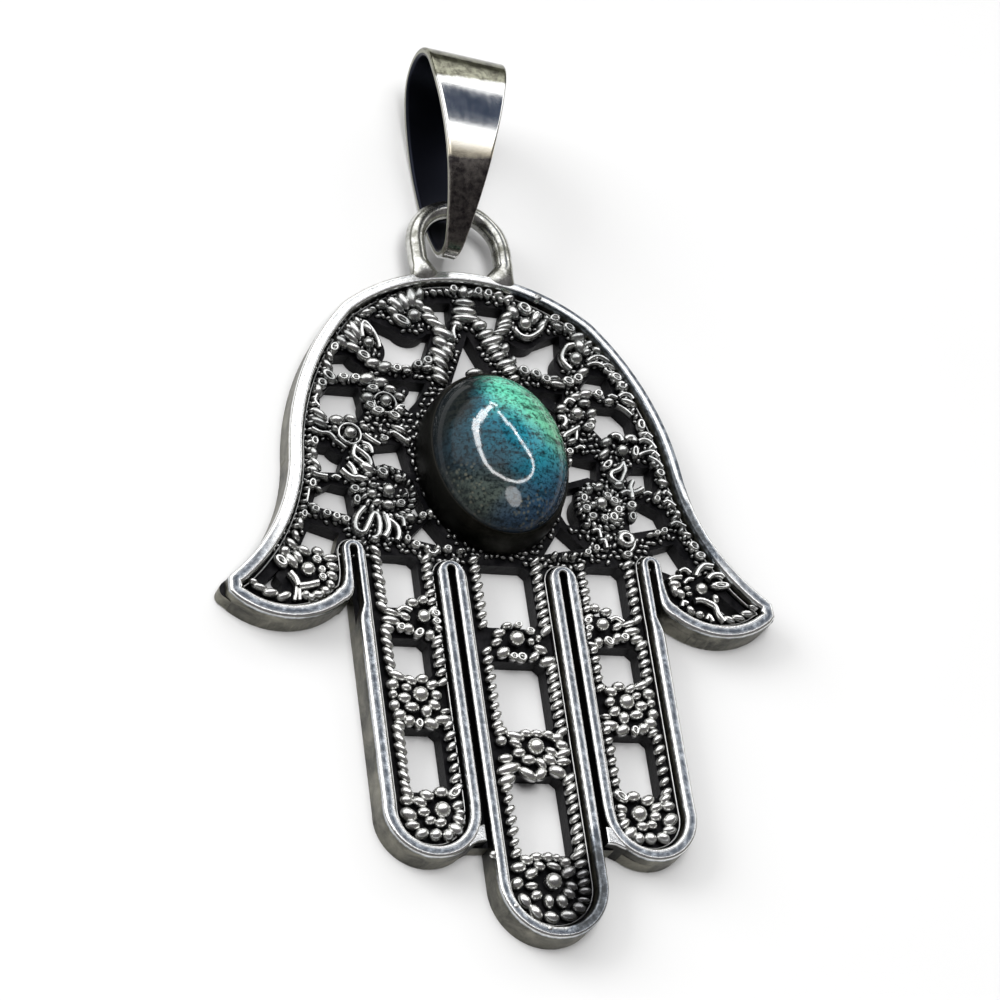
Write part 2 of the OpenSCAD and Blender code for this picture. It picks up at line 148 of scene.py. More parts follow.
STONE_LEAVES: list[Leaf] = [
    (-5.35, 4.52, -4.85, 4.35, .28), (-6.7, 3.85, -6.25, 3.75, .42), (-4.85, 4.1, -4.45, 3.9, .3),
    (-5.25, 2.15, -4.5, 1.75, .2), (-4.65, 1.35, -4.45, 1.15, .25), (-4.95, 3.3, -4.5, 3.05, .22),
    (6.15, 5.05, 6.75, 5.15, .34), (5.55, 4.83, 6.05, 4.9, .3), (6.0, 4.5, 6.55, 4.5, .28),
    (4.6, 4.0, 5.0, 4.1, .34), (6.4, 3.8, 6.8, 4.0, .34), (6.4, 3.42, 6.7, 3.35, .24),
    (5.35, 2.1, 4.9, 1.9, .22), (4.85, .85, 4.7, .5, .22), (-5.45, -.9, -5.2, -1.1, .26),
    (-5.2, -2.1, -4.95, -1.95, .12), (-6.95, -1.55, -6.65, -1.55, .2), (-7.1, -2.0, -6.8, -2.1, .32),
    (-6.9, -2.6, -6.55, -2.5, .24), (-6.3, -2.6, -5.85, -2.7, .32), (5.5, -1.05, 5.75, -.9, .34),
    (6.1, -.8, 6.45, -.65, .3), (5.65, -1.9, 5.85, -1.85, .24), (-5.15, -3.3, -4.75, -3.35, .3),
    (-3.85, -2.85, -3.75, -3.2, .22), (5.0, -3.15, 5.3, -3.2, .2), (-7.3, -4.78, -6.9, -4.78, .2),
    (6.2, -3.98, 6.35, -3.7, .2), (8.7, -3.55, 9.1, -3.5, .15), (-4.25, -4.95, -4.25, -5.3, .2),
    (-3.65, -4.95, -3.68, -5.25, .2), (2.9, -5.25, 3.1, -4.95, .2), (3.5, -5.3, 3.65, -4.95, .2),
    (4.05, -5.25, 4.2, -4.9, .2), (-2.5, -5.15, -2.3, -5.2, .2),
]
THUMB_LEAVES: list[Leaf] = [
    (-11.3, -5.5, -10.85, -5.8, .3), (-10.5, -5.55, -10.15, -5.8, .3), (-10.0, -6.0, -9.35, -6.0, .26),
    (-9.85, -6.4, -9.4, -6.6, .28), (-9.9, -6.9, -9.55, -7.15, .28), (-9.95, -7.4, -9.75, -7.7, .26),
    (-10.3, -7.8, -10.05, -8.05, .3), (-10.8, -8.15, -10.4, -8.2, .32), (-11.3, -8.1, -11.2, -8.3, .3),
    (-11.05, -8.2, -10.95, -8.5, .26), (-11.6, -5.75, -11.3, -6.3, .24), (-12.25, -5.68, -12.0, -5.8, .38),
    (-12.05, -5.95, -11.6, -6.6, .3), (-14.2, -7.52, -13.8, -7.7, .2), (-14.0, -7.8, -13.35, -8.0, .24),
    (-13.45, -8.2, -12.8, -8.15, .28), (-12.7, -8.45, -12.15, -8.2, .3), (9.6, -6.45, 10.1, -6.5, .3),
    (9.72, -6.6, 9.8, -7.1, .24), (10.0, -6.85, 10.2, -7.2, .25), (10.4, -6.65, 10.7, -6.7, .12),
    (10.45, -7.0, 10.75, -7.05, .12), (12.1, -7.05, 12.2, -7.4, .24), (10.4, -7.8, 10.65, -8.2, .2),
    (10.9, -8.15, 11.15, -8.3, .25), (12.5, -8.3, 13.0, -8.6, .18), (13.0, -8.25, 13.65, -8.4, .2),
    (13.6, -8.0, 14.2, -8.05, .24),
]
MIDDLE_LEAVES: list[Leaf] = [
    (-.55, -9.45, -.15, -9.4, .25), (-1.1, -9.95, -.6, -9.8, .3), (-1.3, -10.5, -.85, -10.3, .26),
    (-1.0, -11.1, -.55, -10.85, .4), (1.1, -10.6, 1.6, -10.85, .3), (1.3, -9.95, 1.3, -10.25, .2),
    (.75, -10.25, .95, -10.35, .24), (1.35, -11.5, 2.0, -11.3, .38), (.75, -11.3, 1.1, -11.0, .3),
    (-1.8, -15.55, -1.3, -15.35, .3), (-1.2, -15.6, -.4, -15.85, .3), (-.4, -15.5, .05, -15.6, .28),
    (.2, -15.48, .65, -15.62, .27), (.85, -15.5, 1.25, -15.65, .3), (1.3, -15.75, 1.7, -15.75, .36),
    (-1.1, -16.0, -.6, -16.25, .25), (-.95, -16.65, -.5, -16.6, .34), (-.5, -17.0, 0, -17.0, .35),
    (.25, -16.95, .55, -17.45, .26), (.65, -16.85, 1.15, -17.1, .34), (.85, -16.4, 1.25, -16.65, .3),
    (1.5, -16.1, 1.9, -16.2, .36), (1.35, -16.75, 2.1, -16.45, .3), (1.4, -17.1, 1.95, -17.05, .3),
    (-1.75, -16.0, -1.5, -16.0, .38), (-1.8, -17.0, -1.25, -16.95, .35), (-1.95, -17.7, -.9, -17.35, .4),
    (-.75, -17.55, -.1, -18.05, .36), (.15, -17.95, .45, -17.6, .4), (.95, -17.5, 1.55, -17.75, .42),
    (-1.95, -18.3, -1.25, -18.0, .38), (-.7, -22.7, -.35, -22.9, .3), (-.05, -22.7, .55, -22.92, .25),
    (-1.25, -23.3, -.8, -23.1, .36), (-1.35, -23.85, -.85, -23.85, .25), (-1.1, -24.4, -.75, -24.3, .34),
    (-.3, -24.4, -.3, -24.9, .34), (.3, -24.45, .5, -24.85, .42), (.65, -24.1, 1.05, -24.4, .34),
    (.85, -23.75, 1.25, -23.95, .32), (.75, -23.25, 1.25, -22.95, .42), (-1.4, -22.4, -1.0, -22.55, .34),
    (-.85, -22.3, -.4, -22.3, .3), (-.15, -22.3, .15, -22.3, .34), (.35, -22.3, .55, -22.4, .28),
    (.75, -22.55, 1.05, -22.6, .38), (-1.95, -22.9, -1.4, -22.85, .36), (-2.0, -23.85, -1.75, -23.6, .42),
    (-1.75, -24.4, -1.45, -24.9, .38), (-1.25, -25.0, -.95, -25.5, .38), (-.5, -25.4, -.05, -25.6, .4),
    (.35, -25.35, .95, -25.45, .38), (1.1, -24.9, 1.5, -25.1, .4), (1.3, -24.55, 1.9, -24.65, .2),
    (1.5, -24.1, 2.0, -24.1, .28), (1.5, -23.75, 2.0, -23.55, .28), (1.5, -23.3, 2.0, -23.1, .3),
    (1.5, -22.75, 2.0, -22.55, .3), (1.35, -22.35, 2.05, -21.95, .26),
]
OUTER_LEAVES: list[Leaf] = [
    (-7.2, -8.82, -6.35, -9.1, .22), (-7.2, -9.35, -6.4, -9.52, .3), (-7.25, -9.8, -6.8, -9.95, .3),
    (-6.2, -9.05, -5.8, -9.3, .26), (-5.65, -8.3, -5.3, -8.4, .34), (-5.0, -8.25, -4.75, -8.05, .32),
    (-4.35, -9.7, -4.1, -9.9, .24), (-4.55, -10.45, -4.1, -10.25, .2), (-6.0, -9.75, -5.75, -9.95, .36),
    (-4.75, -10.0, -4.75, -10.3, .34), (-7.2, -12.4, -6.5, -12.7, .3), (-6.35, -12.65, -5.95, -12.92, .3),
    (-5.7, -12.7, -5.3, -12.65, .34), (-5.2, -13.1, -4.8, -12.9, .34), (-7.3, -13.05, -7.0, -13.05, .42),
    (-7.3, -13.65, -7.1, -13.55, .3), (-7.3, -14.25, -7.1, -14.2, .42), (-7.15, -14.8, -6.8, -14.7, .42),
    (-6.6, -15.15, -6.4, -14.95, .4), (-5.55, -15.05, -5.1, -15.3, .4), (-7.25, -15.15, -6.85, -15.4, .22),
    (-6.6, -13.15, -6.25, -13.25, .26), (-6.8, -13.75, -6.4, -13.8, .38), (-6.5, -14.25, -6.0, -14.3, .35),
    (-5.5, -14.3, -5.5, -14.65, .4), (-5.2, -14.0, -4.85, -14.25, .36), (-5.0, -13.5, -4.7, -13.65, .34),
    (-5.0, -14.95, -4.3, -14.9, .36), (-4.7, -14.5, -4.25, -14.4, .16), (-6.3, -19.0, -5.85, -19.2, .38),
    (-5.5, -18.9, -5.1, -18.9, .4), (-4.7, -19.7, -4.3, -19.5, .3), (-4.6, -20.0, -4.25, -20.05, .25),
    (-4.75, -20.25, -4.3, -20.6, .3), (-5.0, -20.75, -4.55, -21.1, .42), (-5.25, -21.05, -5.2, -21.4, .38),
    (-6.0, -21.3, -5.75, -21.1, .42), (-6.8, -21.25, -6.4, -21.05, .38), (-7.3, -20.7, -6.75, -20.75, .3),
    (-7.4, -20.0, -6.95, -20.3, .46), (-7.4, -19.35, -7.0, -19.45, .34), (-7.3, -18.8, -6.9, -19.15, .3),
    (-6.75, -19.35, -6.25, -19.6, .32), (-6.55, -20.0, -6.15, -20.0, .34), (-6.25, -20.5, -5.9, -20.4, .3),
    (-5.7, -20.6, -5.35, -20.5, .34),
]
PALM_RINGS: list[Ring] = [
    (-3.93, 8.85, .58, .27, -30), (3.55, 10.35, .45, .34, -40), (4.15, 9.85, .4, .2, 60),
    (5.3, 9.85, .38, .25, 20), (6.1, 9.3, .4, .26, -35), (-.6, 11.18, .24, .24, 0),
    (.85, 11.15, .3, .24, 50), (1.45, 11.1, .28, .24, 50), (-8.05, 6.75, .33, .24, 60),
    (-8.55, 4.95, .45, .27, -45), (-9.0, 4.45, .28, .27, 0), (-9.8, .85, .28, .2, 90),
    (-10.2, -1.7, .3, .2, 75), (-10.85, -3.55, .25, .17, 75), (8.5, 6.3, .36, .26, -30),
    (8.75, 5.75, .28, .22, 0), (9.5, 3.35, .38, .24, 85), (10.15, .35, .28, .24, -20),
    (9.65, -1.3, .2, .2, 0), (11.4, -4.1, .33, .25, -45), (11.7, -4.65, .33, .22, -10),
    (-7.75, 4.95, .3, .22, 0), (-7.05, 4.95, .27, .22, 0), (7.2, 5.15, .28, .25, 0),
    (-6.4, 6.4, .4, .26, -30), (-4.6, 5.75, .27, .24, 0), (-3.35, 6.1, .3, .24, 30),
    (-2.75, 6.4, .3, .26, 20), (2.9, 6.25, .33, .28, -45), (3.6, 6.1, .32, .26, -45),
    (4.15, 5.82, .3, .26, -20), (5.5, 5.8, .36, .25, -20), (6.1, 6.05, .32, .27, 20),
    (-6.15, 4.38, .34, .19, 0), (-6.4, 3.3, .3, .2, -20), (-6.0, 3.0, .38, .22, -5),
    (-5.1, 2.78, .36, .19, -25), (-5.85, 1.3, .25, .16, 0), (6.3, 3.0, .36, .19, 5),
    (4.85, 1.3, .24, .2, 0), (8.85, 1.6, .4, .18, 80), (7.0, .65, .42, .2, 40), (-7.9, -1.87, .28, .23, 0),
    (-7.85, -2.5, .28, .2, 80), (-6.2, -.75, .34, .24, -30), (-5.4, -2.55, .27, .2, 0),
    (8.05, -1.8, .3, .25, 0), (8.0, -2.5, .3, .22, 80), (5.25, -1.55, .28, .2, 70),
    (5.3, -2.15, .27, .22, 0), (6.3, -2.7, .22, .2, 0), (6.85, -2.6, .3, .26, 90),
    (7.2, -2.15, .28, .24, 45), (7.05, -1.6, .28, .2, -40), (6.7, -1.3, .26, .18, -30),
    (5.6, -2.62, .28, .2, 10), (-5.3, -4.65, .22, .16, 90), (-4.85, -4.95, .25, .2, 0),
    (5.5, -4.58, .2, .18, 90), (4.95, -4.85, .22, .18, 20), (7.3, -4.85, .3, .2, 0),
    (-10.2, -3.22, .24, .2, 0), (-9.6, -3.42, .24, .22, 0), (-9.1, -3.57, .22, .22, 0),
    (-8.6, -3.72, .2, .2, 0), (9.75, -3.25, .22, .18, 20), (9.3, -3.42, .2, .15, 15),
    (-4.25, -3.2, .22, .18, 0), (-3.1, -5.1, .25, .2, 0), (7.4, -3.9, .5, .45, 0),
    (-12.4, -6.35, .4, .25, -50), (-10.45, -6.15, .25, .18, -30), (-10.25, -6.72, .2, .16, -30),
    (-10.25, -7.15, .22, .17, -40), (12.6, -6.42, .6, .19, 3),
]
FINGER_RINGS: list[Ring] = [
    (.28, -9.38, .22, .17, 0), (.9, -9.7, .25, .18, -10), (-.25, -11.22, .22, .2, 0),
    (.2, -11.25, .28, .26, 0),
]
OUTER_RINGS: list[Ring] = [
    (-6.3, -9.82, .25, .22, 0), (-5.35, -10.1, .32, .22, 45), (-4.3, -8.95, .26, .2, -20),
    (-6.0, -15.22, .28, .2, 85), (-4.6, -18.95, .42, .24, 40), (-4.3, -9.4, .24, .18, -20),
]
PALM_WIRES: list[Wire] = [
    (.1, [(-.6, 9.0), (-.88, 8.7), (-.97, 8.35), (-.92, 7.95)]),
    (.12, [(4.65, 9.6), (4.35, 9.05), (3.9, 8.65), (3.45, 8.45), (3.0, 8.55), (2.75, 8.9)]),
    (.09, [(-6.3, 7.6), (-6.3, 8.25), (-6.12, 8.6), (-5.82, 8.3), (-5.58, 7.85), (-5.42, 7.4),
          (-5.42, 7.0)]),
    (.13, [(6.15, 8.2), (5.8, 8.12), (5.5, 7.75), (5.32, 7.3), (5.45, 6.9), (5.75, 6.58)]),
    (.11, [(6.85, 7.2), (7.2, 7.48), (7.7, 7.6), (8.2, 7.3)]),
    (.09, [(6.8, 6.95), (7.15, 7.12), (7.55, 7.15), (7.8, 7.0)]),
    (.09, [(7.7, 7.02), (8.15, 7.12), (8.55, 6.85)]), (.07, [(7.85, 6.85), (8.1, 6.65), (8.4, 6.68)]),
    (.08, [(-9.33, 3.75), (-9.5, 3.4), (-9.3, 3.05)]),
    (.1, [(-9.88, 1.65), (-9.4, 1.42), (-8.95, 1.42), (-8.65, 1.1)]),
    (.11, [(-10.2, -.8), (-10.0, -1.1), (-9.35, -1.2)]),
    (.07, [(-10.4, -2.0), (-10.5, -2.4), (-10.62, -2.8)]),
    (.1, [(8.4, 5.05), (8.75, 5.3), (9.15, 5.25), (9.3, 5.0)]),
    (.08, [(8.25, 4.55), (8.7, 4.3), (9.05, 3.95)]), (.09, [(7.75, 5.0), (8.0, 5.15), (8.3, 5.0)]),
    (.1, [(9.35, 2.75), (9.75, 2.85), (10.05, 2.6)]),
    (.1, [(9.15, 2.3), (9.5, 2.45), (9.9, 2.3), (10.15, 1.9)]),
    (.1, [(9.0, 1.4), (9.4, 1.6), (9.95, 1.72), (10.25, 1.4)]),
    (.1, [(9.6, 1.35), (10.1, 1.1), (10.35, .75)]), (.08, [(10.1, -.95), (10.35, -.75), (10.6, -1.0)]),
    (.1, [(10.0, -1.5), (10.3, -1.35), (10.7, -1.65)]), (.1, [(10.2, -2.85), (10.6, -2.65), (11.1, -2.9)]),
    (.1, [(-5.0, 3.1), (-4.78, 3.4), (-4.45, 3.42)]),
    (.1, [(-5.55, 1.65), (-5.3, 1.75), (-4.9, 1.5), (-4.6, 1.25)]),
    (.11, [(5.0, 4.3), (5.3, 4.65), (5.65, 4.5)]),
    (.12, [(4.55, 3.45), (4.85, 3.45), (4.95, 3.2), (4.7, 2.85)]),
    (.12, [(5.65, 2.9), (5.4, 2.75), (4.75, 2.35), (4.65, 2.15)]),
    (.08, [(5.55, 2.95), (5.48, 2.4), (5.4, 2.1)]), (.08, [(5.25, 1.55), (5.6, 1.75), (5.8, 1.6)]),
    (.07, [(-8.7, 1.1), (-8.4, .9), (-8.1, .62)]), (.07, [(-8.4, 1.4), (-8.2, 1.1), (-7.85, .9)]),
    (.1, [(-6.95, 1.5), (-6.55, 1.2), (-6.15, .95)]),
    (.1, [(-7.15, .95), (-6.85, .9), (-6.65, .65), (-6.65, .35)]),
    (.11, [(-7.55, .78), (-7.72, .15), (-7.3, -.25), (-7.0, -.5), (-6.8, -.35), (-6.85, 0), (-7.1, .3),
          (-7.35, .5), (-7.6, .7)]), (.13, [(7.5, 2.45), (7.8, 2.6), (8.1, 2.45), (8.15, 2.2)]),
    (.15, [(8.3, 2.3), (8.6, 2.5), (8.9, 2.42), (8.85, 2.2)]),
    (.12, [(8.0, .82), (7.65, .42), (7.2, .2), (7.1, -.1), (7.3, -.35), (7.6, -.4), (7.9, .1), (8.05, .4),
          (7.95, .85)]), (.13, [(-8.1, -.35), (-7.85, -.65), (-7.75, -1.05)]),
    (.13, [(-8.5, -.75), (-8.2, -1.05), (-7.9, -1.2), (-7.6, -1.15), (-7.3, -1.25)]),
    (.08, [(-9.1, -1.25), (-8.88, -1.1), (-8.6, -1.25)]),
    (.13, [(8.35, -.3), (8.15, -.7), (8.2, -1.0), (8.15, -1.35)]),
    (.15, [(8.85, -.75), (8.5, -.95), (8.2, -1.05)]), (.12, [(7.5, -1.15), (7.8, -.95), (8.15, -1.0)]),
    (.07, [(8.9, -1.0), (9.2, -.85), (9.4, -.95)]),
    (.13, [(-7.5, -2.95), (-7.9, -3.4), (-8.12, -3.95), (-8.05, -4.38), (-7.7, -4.42), (-7.4, -3.95),
          (-7.15, -3.45)]),
    (.12, [(-7.15, -3.5), (-7.0, -3.22), (-6.77, -3.4), (-6.75, -4.0), (-6.92, -4.55), (-7.3, -4.75)]),
    (.14, [(-6.35, -3.35), (-6.25, -3.8), (-6.3, -4.2), (-6.6, -4.65)]),
    (.13, [(-6.2, -3.6), (-5.82, -3.95), (-5.72, -4.4), (-5.9, -4.82)]),
    (.1, [(-5.72, -3.38), (-5.38, -3.45), (-5.38, -3.92)]),
    (.08, [(7.0, -3.5), (7.5, -3.42), (7.85, -3.8), (7.8, -4.3), (7.5, -4.65)]),
    (.09, [(5.45, -3.5), (5.85, -3.4), (5.9, -3.9)]), (.1, [(5.8, -4.1), (6.1, -4.0), (6.15, -4.5)]),
    (.1, [(-4.25, -5.1), (-4.18, -5.38), (-3.95, -5.45), (-3.72, -5.3), (-3.65, -5.1)]),
    (.15, [(-12.0, -7.0), (-11.72, -7.4), (-11.62, -7.75)]),
    (.15, [(-11.62, -7.75), (-11.1, -7.66), (-10.55, -7.5)]),
    (.08, [(-11.72, -7.8), (-11.8, -8.2), (-11.9, -8.55)]),
    (.08, [(-11.55, -7.85), (-11.58, -8.2), (-11.6, -8.52)]),
    (.13, [(11.15, -5.95), (11.4, -5.55), (11.8, -5.22), (12.3, -5.25)]),
    (.13, [(11.85, -6.1), (12.2, -5.8), (12.7, -5.75), (12.9, -5.9)]),
    (.1, [(10.2, -5.7), (10.6, -5.5), (10.9, -5.75)]), (.1, [(9.5, -6.25), (9.8, -6.05), (10.3, -6.0)]),
    (.09, [(10.4, -6.4), (10.7, -6.1), (11.0, -6.1)]),
    (.12, [(10.85, -7.4), (11.3, -7.35), (11.8, -7.55), (12.05, -7.75), (12.15, -8.2), (12.4, -8.6)]),
    (.1, [(10.05, -7.8), (10.15, -7.5), (10.4, -7.6)]),
    (.09, [(11.4, -8.5), (11.55, -8.2), (11.75, -8.6)]),
    (.09, [(14.1, -7.6), (14.35, -7.55), (14.55, -7.75)]),
]
FINGER_WIRES: list[Wire] = [(.1, [(-6.4, -8.9), (-6.0, -8.65), (-5.6, -8.82)])]

# Balls: middle and radius. Ring wires: middle, radius of the ring and of the wire.
# Twisted rings: middle and radius.
BALLS: list[tuple[float, float, float]] = [
    (-3.2, 9.2, .38), (3.4, 9.3, .36), (-6.05, 7.2, .3), (6.15, 7.3, .38), (-5.5, 3.65, .33),
    (5.65, 3.75, .36), (-7.75, 1.5, .34), (8.05, 1.6, .34), (-6.0, -1.82, .34), (6.2, -1.8, .36),
    (-11.0, -6.75, .37), (11.35, -6.7, .34), (.05, -10.2, .42), (.2, -16.3, .45), (.05, -23.65, .46),
    (-5.0, -9.15, .36), (5.1, -9.15, .36), (-5.75, -13.6, .42), (5.75, -13.6, .42), (-5.4, -19.9, .43),
    (5.4, -19.9, .43),
]
RING_WIRES: list[tuple[float, float, float, float]] = [(-7.75, 1.5, .62, .06), (-5.5, 3.6, .62, .05)]
TWISTED_RINGS: list[tuple[float, float, float]] = [(-6.0, -1.9, 1.42), (6.2, -1.95, 1.3)]

# Twisted borders: x, runs from top to bottom, half along, half across, pitch and lean in degrees.
FINGER_ROPES: list[tuple[float, list[Point], float, float, float, float]] = [
    (-1.68, [(-5.6, -9.4), (-10.9, -15.1), (-18.6, -22.1)], .21, .36, .50, 32),
    (1.84, [(-5.5, -9.6), (-11.8, -15.4), (-18.0, -21.8)], .21, .43, .50, 42),
    (-7.15, [(-5.4, -8.7), (-10.2, -12.3), (-15.6, -18.6)], .20, .42, .50, -48),
    (-4.37, [(-5.7, -8.7), (-10.6, -12.8), (-15.2, -18.7)], .22, .39, .50, 38),
    (4.42, [(-5.7, -8.7), (-10.6, -12.8), (-15.2, -18.7)], .21, .36, .50, 30),
    (7.25, [(-5.4, -8.7), (-10.2, -12.3), (-15.6, -18.6)], .22, .40, .51, 38),
]
# The foot of an outer finger, and stray grains: middle and radius.
FOOT: list[Point] = [
    (3.3, -20.7), (3.3, -21.62), (3.75, -21.68), (4.3, -21.95), (4.35, -21.35), (3.85, -20.8),
]
GRAINS: list[tuple[float, float, float]] = [
    (-2.25, -25.05, .2), (-.6, -26.2, .2), (-3.05, -22.3, .2), (4.3, 10.9, .3),
]


# ---------------------------------------------------------------- helpers


def lerp(a: float, b: float, t: float) -> float:
    """Return the value a share t of the way from a to b."""
    return a + (b - a) * t


def held(value: float) -> float:
    """Return a value held between 0 and 1."""
    return min(1.0, max(0.0, value))


def arc(cx: float, cy: float, r: float, a0: float, a1: float, step: float = 0.22) -> list[Point]:
    """Return points on an arc.

    Args:
        cx: Middle of the arc in x.
        cy: Middle of the arc in y.
        r: Radius.
        a0: Angle of the first point in degrees.
        a1: Angle of the last point in degrees.
        step: Distance between points.

    Returns:
        The points from a0 to a1, both included.
    """
    n = max(2, math.ceil(abs(math.radians(a1 - a0)) * r / step))
    turns = [math.radians(lerp(a0, a1, i / n)) for i in range(n + 1)]
    return [(cx + r * math.cos(a), cy + r * math.sin(a)) for a in turns]


def line(p: Point, q: Point, step: float = 0.4) -> list[Point]:
    """Return points along the straight line from p to q, both included."""
    n = max(1, math.ceil(math.dist(p, q) / step))
    return [(lerp(p[0], q[0], i / n), lerp(p[1], q[1], i / n)) for i in range(n + 1)]


def mirrored(points: list[Point]) -> list[Point]:
    """Return the points on the other side of the hand."""
    return [(-x, y) for x, y in points]


def with_width(points: list[Point], w0: float, w1: float) -> list[Station]:
    """Give a run of points a width that changes evenly from w0 to w1."""
    last = max(1, len(points) - 1)
    return [(x, y, lerp(w0, w1, i / last)) for i, (x, y) in enumerate(points)]


def heading(before: tuple, after: tuple) -> Vector:
    """Return the unit vector across the face from one place to another."""
    return Vector((after[0] - before[0], after[1] - before[1])).normalized()


def linked(name: str, data: bpy.types.ID) -> Piece:
    """Make an object and link it to the scene.

    Args:
        name: Name of the object.
        data: Its mesh, light or camera.

    Returns:
        The new object.
    """
    obj = bpy.data.objects.new(name, data)
    bpy.context.scene.collection.objects.link(obj)
    return obj


def mesh_object(name: str, verts: list, faces: list, edges: list | None = None) -> Piece:
    """Make a mesh object from points in millimetres.

    Args:
        name: Name of the object and its mesh.
        verts: Points in millimetres.
        faces: Corner indices of the faces.
        edges: Edges where the mesh has no faces.

    Returns:
        The new object.
    """
    mesh = bpy.data.meshes.new(name)
    mesh.from_pydata([(x * MM, y * MM, z * MM) for x, y, z in verts], edges or [], faces)
    mesh.update()
    return linked(name, mesh)


def store(obj: Piece, name: str, values: list) -> None:
    """Store a number or a vector for each point of a mesh.

    Args:
        obj: The mesh object.
        name: Name of the attribute.
        values: A number, or three numbers, for each point.
    """
    kind, part = ("FLOAT", "value") if isinstance(values[0], float) else ("FLOAT_VECTOR", "vector")
    layer = obj.data.attributes.new(name, kind, "POINT")
    for place, value in zip(layer.data, values):
        setattr(place, part, value)


def tidy_mesh(obj: Piece, smooth: bool = True) -> None:
    """Turn a mesh's faces outwards and set their shading.

    Args:
        obj: The mesh object.
        smooth: Whether the faces are shaded smooth.
    """
    bm = bmesh.new()
    bm.from_mesh(obj.data)
    bmesh.ops.recalc_face_normals(bm, faces=bm.faces)
    for f in bm.faces:
        f.smooth = smooth
    bm.to_mesh(obj.data)
    bm.free()


def joined(name: str, parts: list[Piece]) -> Piece:
    """Join finished meshes of one material and remove the parts.

    Args:
        name: Name of the joined object.
        parts: The objects to join.

    Returns:
        The joined object.
    """
    bm = bmesh.new()
    for part in parts:
        bm.from_mesh(part.data)
    mesh = bpy.data.meshes.new(name)
    bm.to_mesh(mesh)
    bm.free()
    for material in parts[0].data.materials:
        mesh.materials.append(material)
    for part in parts:
        bpy.data.objects.remove(part)
    return linked(name, mesh)


def grid_faces(rows: int, columns: int, rows_closed: bool) -> list[tuple]:
    """Return the quads of a grid whose columns close on themselves.

    Args:
        rows: Number of rows of points.
        columns: Number of points in a row.
        rows_closed: Whether the last row joins the first.

    Returns:
        The corner indices of each quad.
    """
    faces = []
    for i in range(rows if rows_closed else rows - 1):
        for j in range(columns):
            a, b = i * columns, ((i + 1) % rows) * columns
            faces.append((a + j, a + (j + 1) % columns, b + (j + 1) % columns, b + j))
    return faces


def rod_faces(rows: int, columns: int) -> list[tuple]:
    """Return the quads round a rod and the faces over its two ends."""
    ends = [tuple(range(columns)), tuple(range((rows - 1) * columns, rows * columns))]
    return grid_faces(rows, columns, False) + ends


def hand_over(obj: Piece, body: Body, finish: Finish, *nodes: str) -> None:
    """Let a finished piece ride on its body and hide the solids that it stands for.

    Args:
        obj: The finished piece.
        body: The body that carries it.
        finish: Its material slot; not used.
        nodes: The solids that it stands for.
    """
    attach(obj, body.value)
    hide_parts(*nodes)
    LOG.info("%s: %d faces", obj.name, len(obj.data.polygons))


# -------------------------------------------------------------- materials


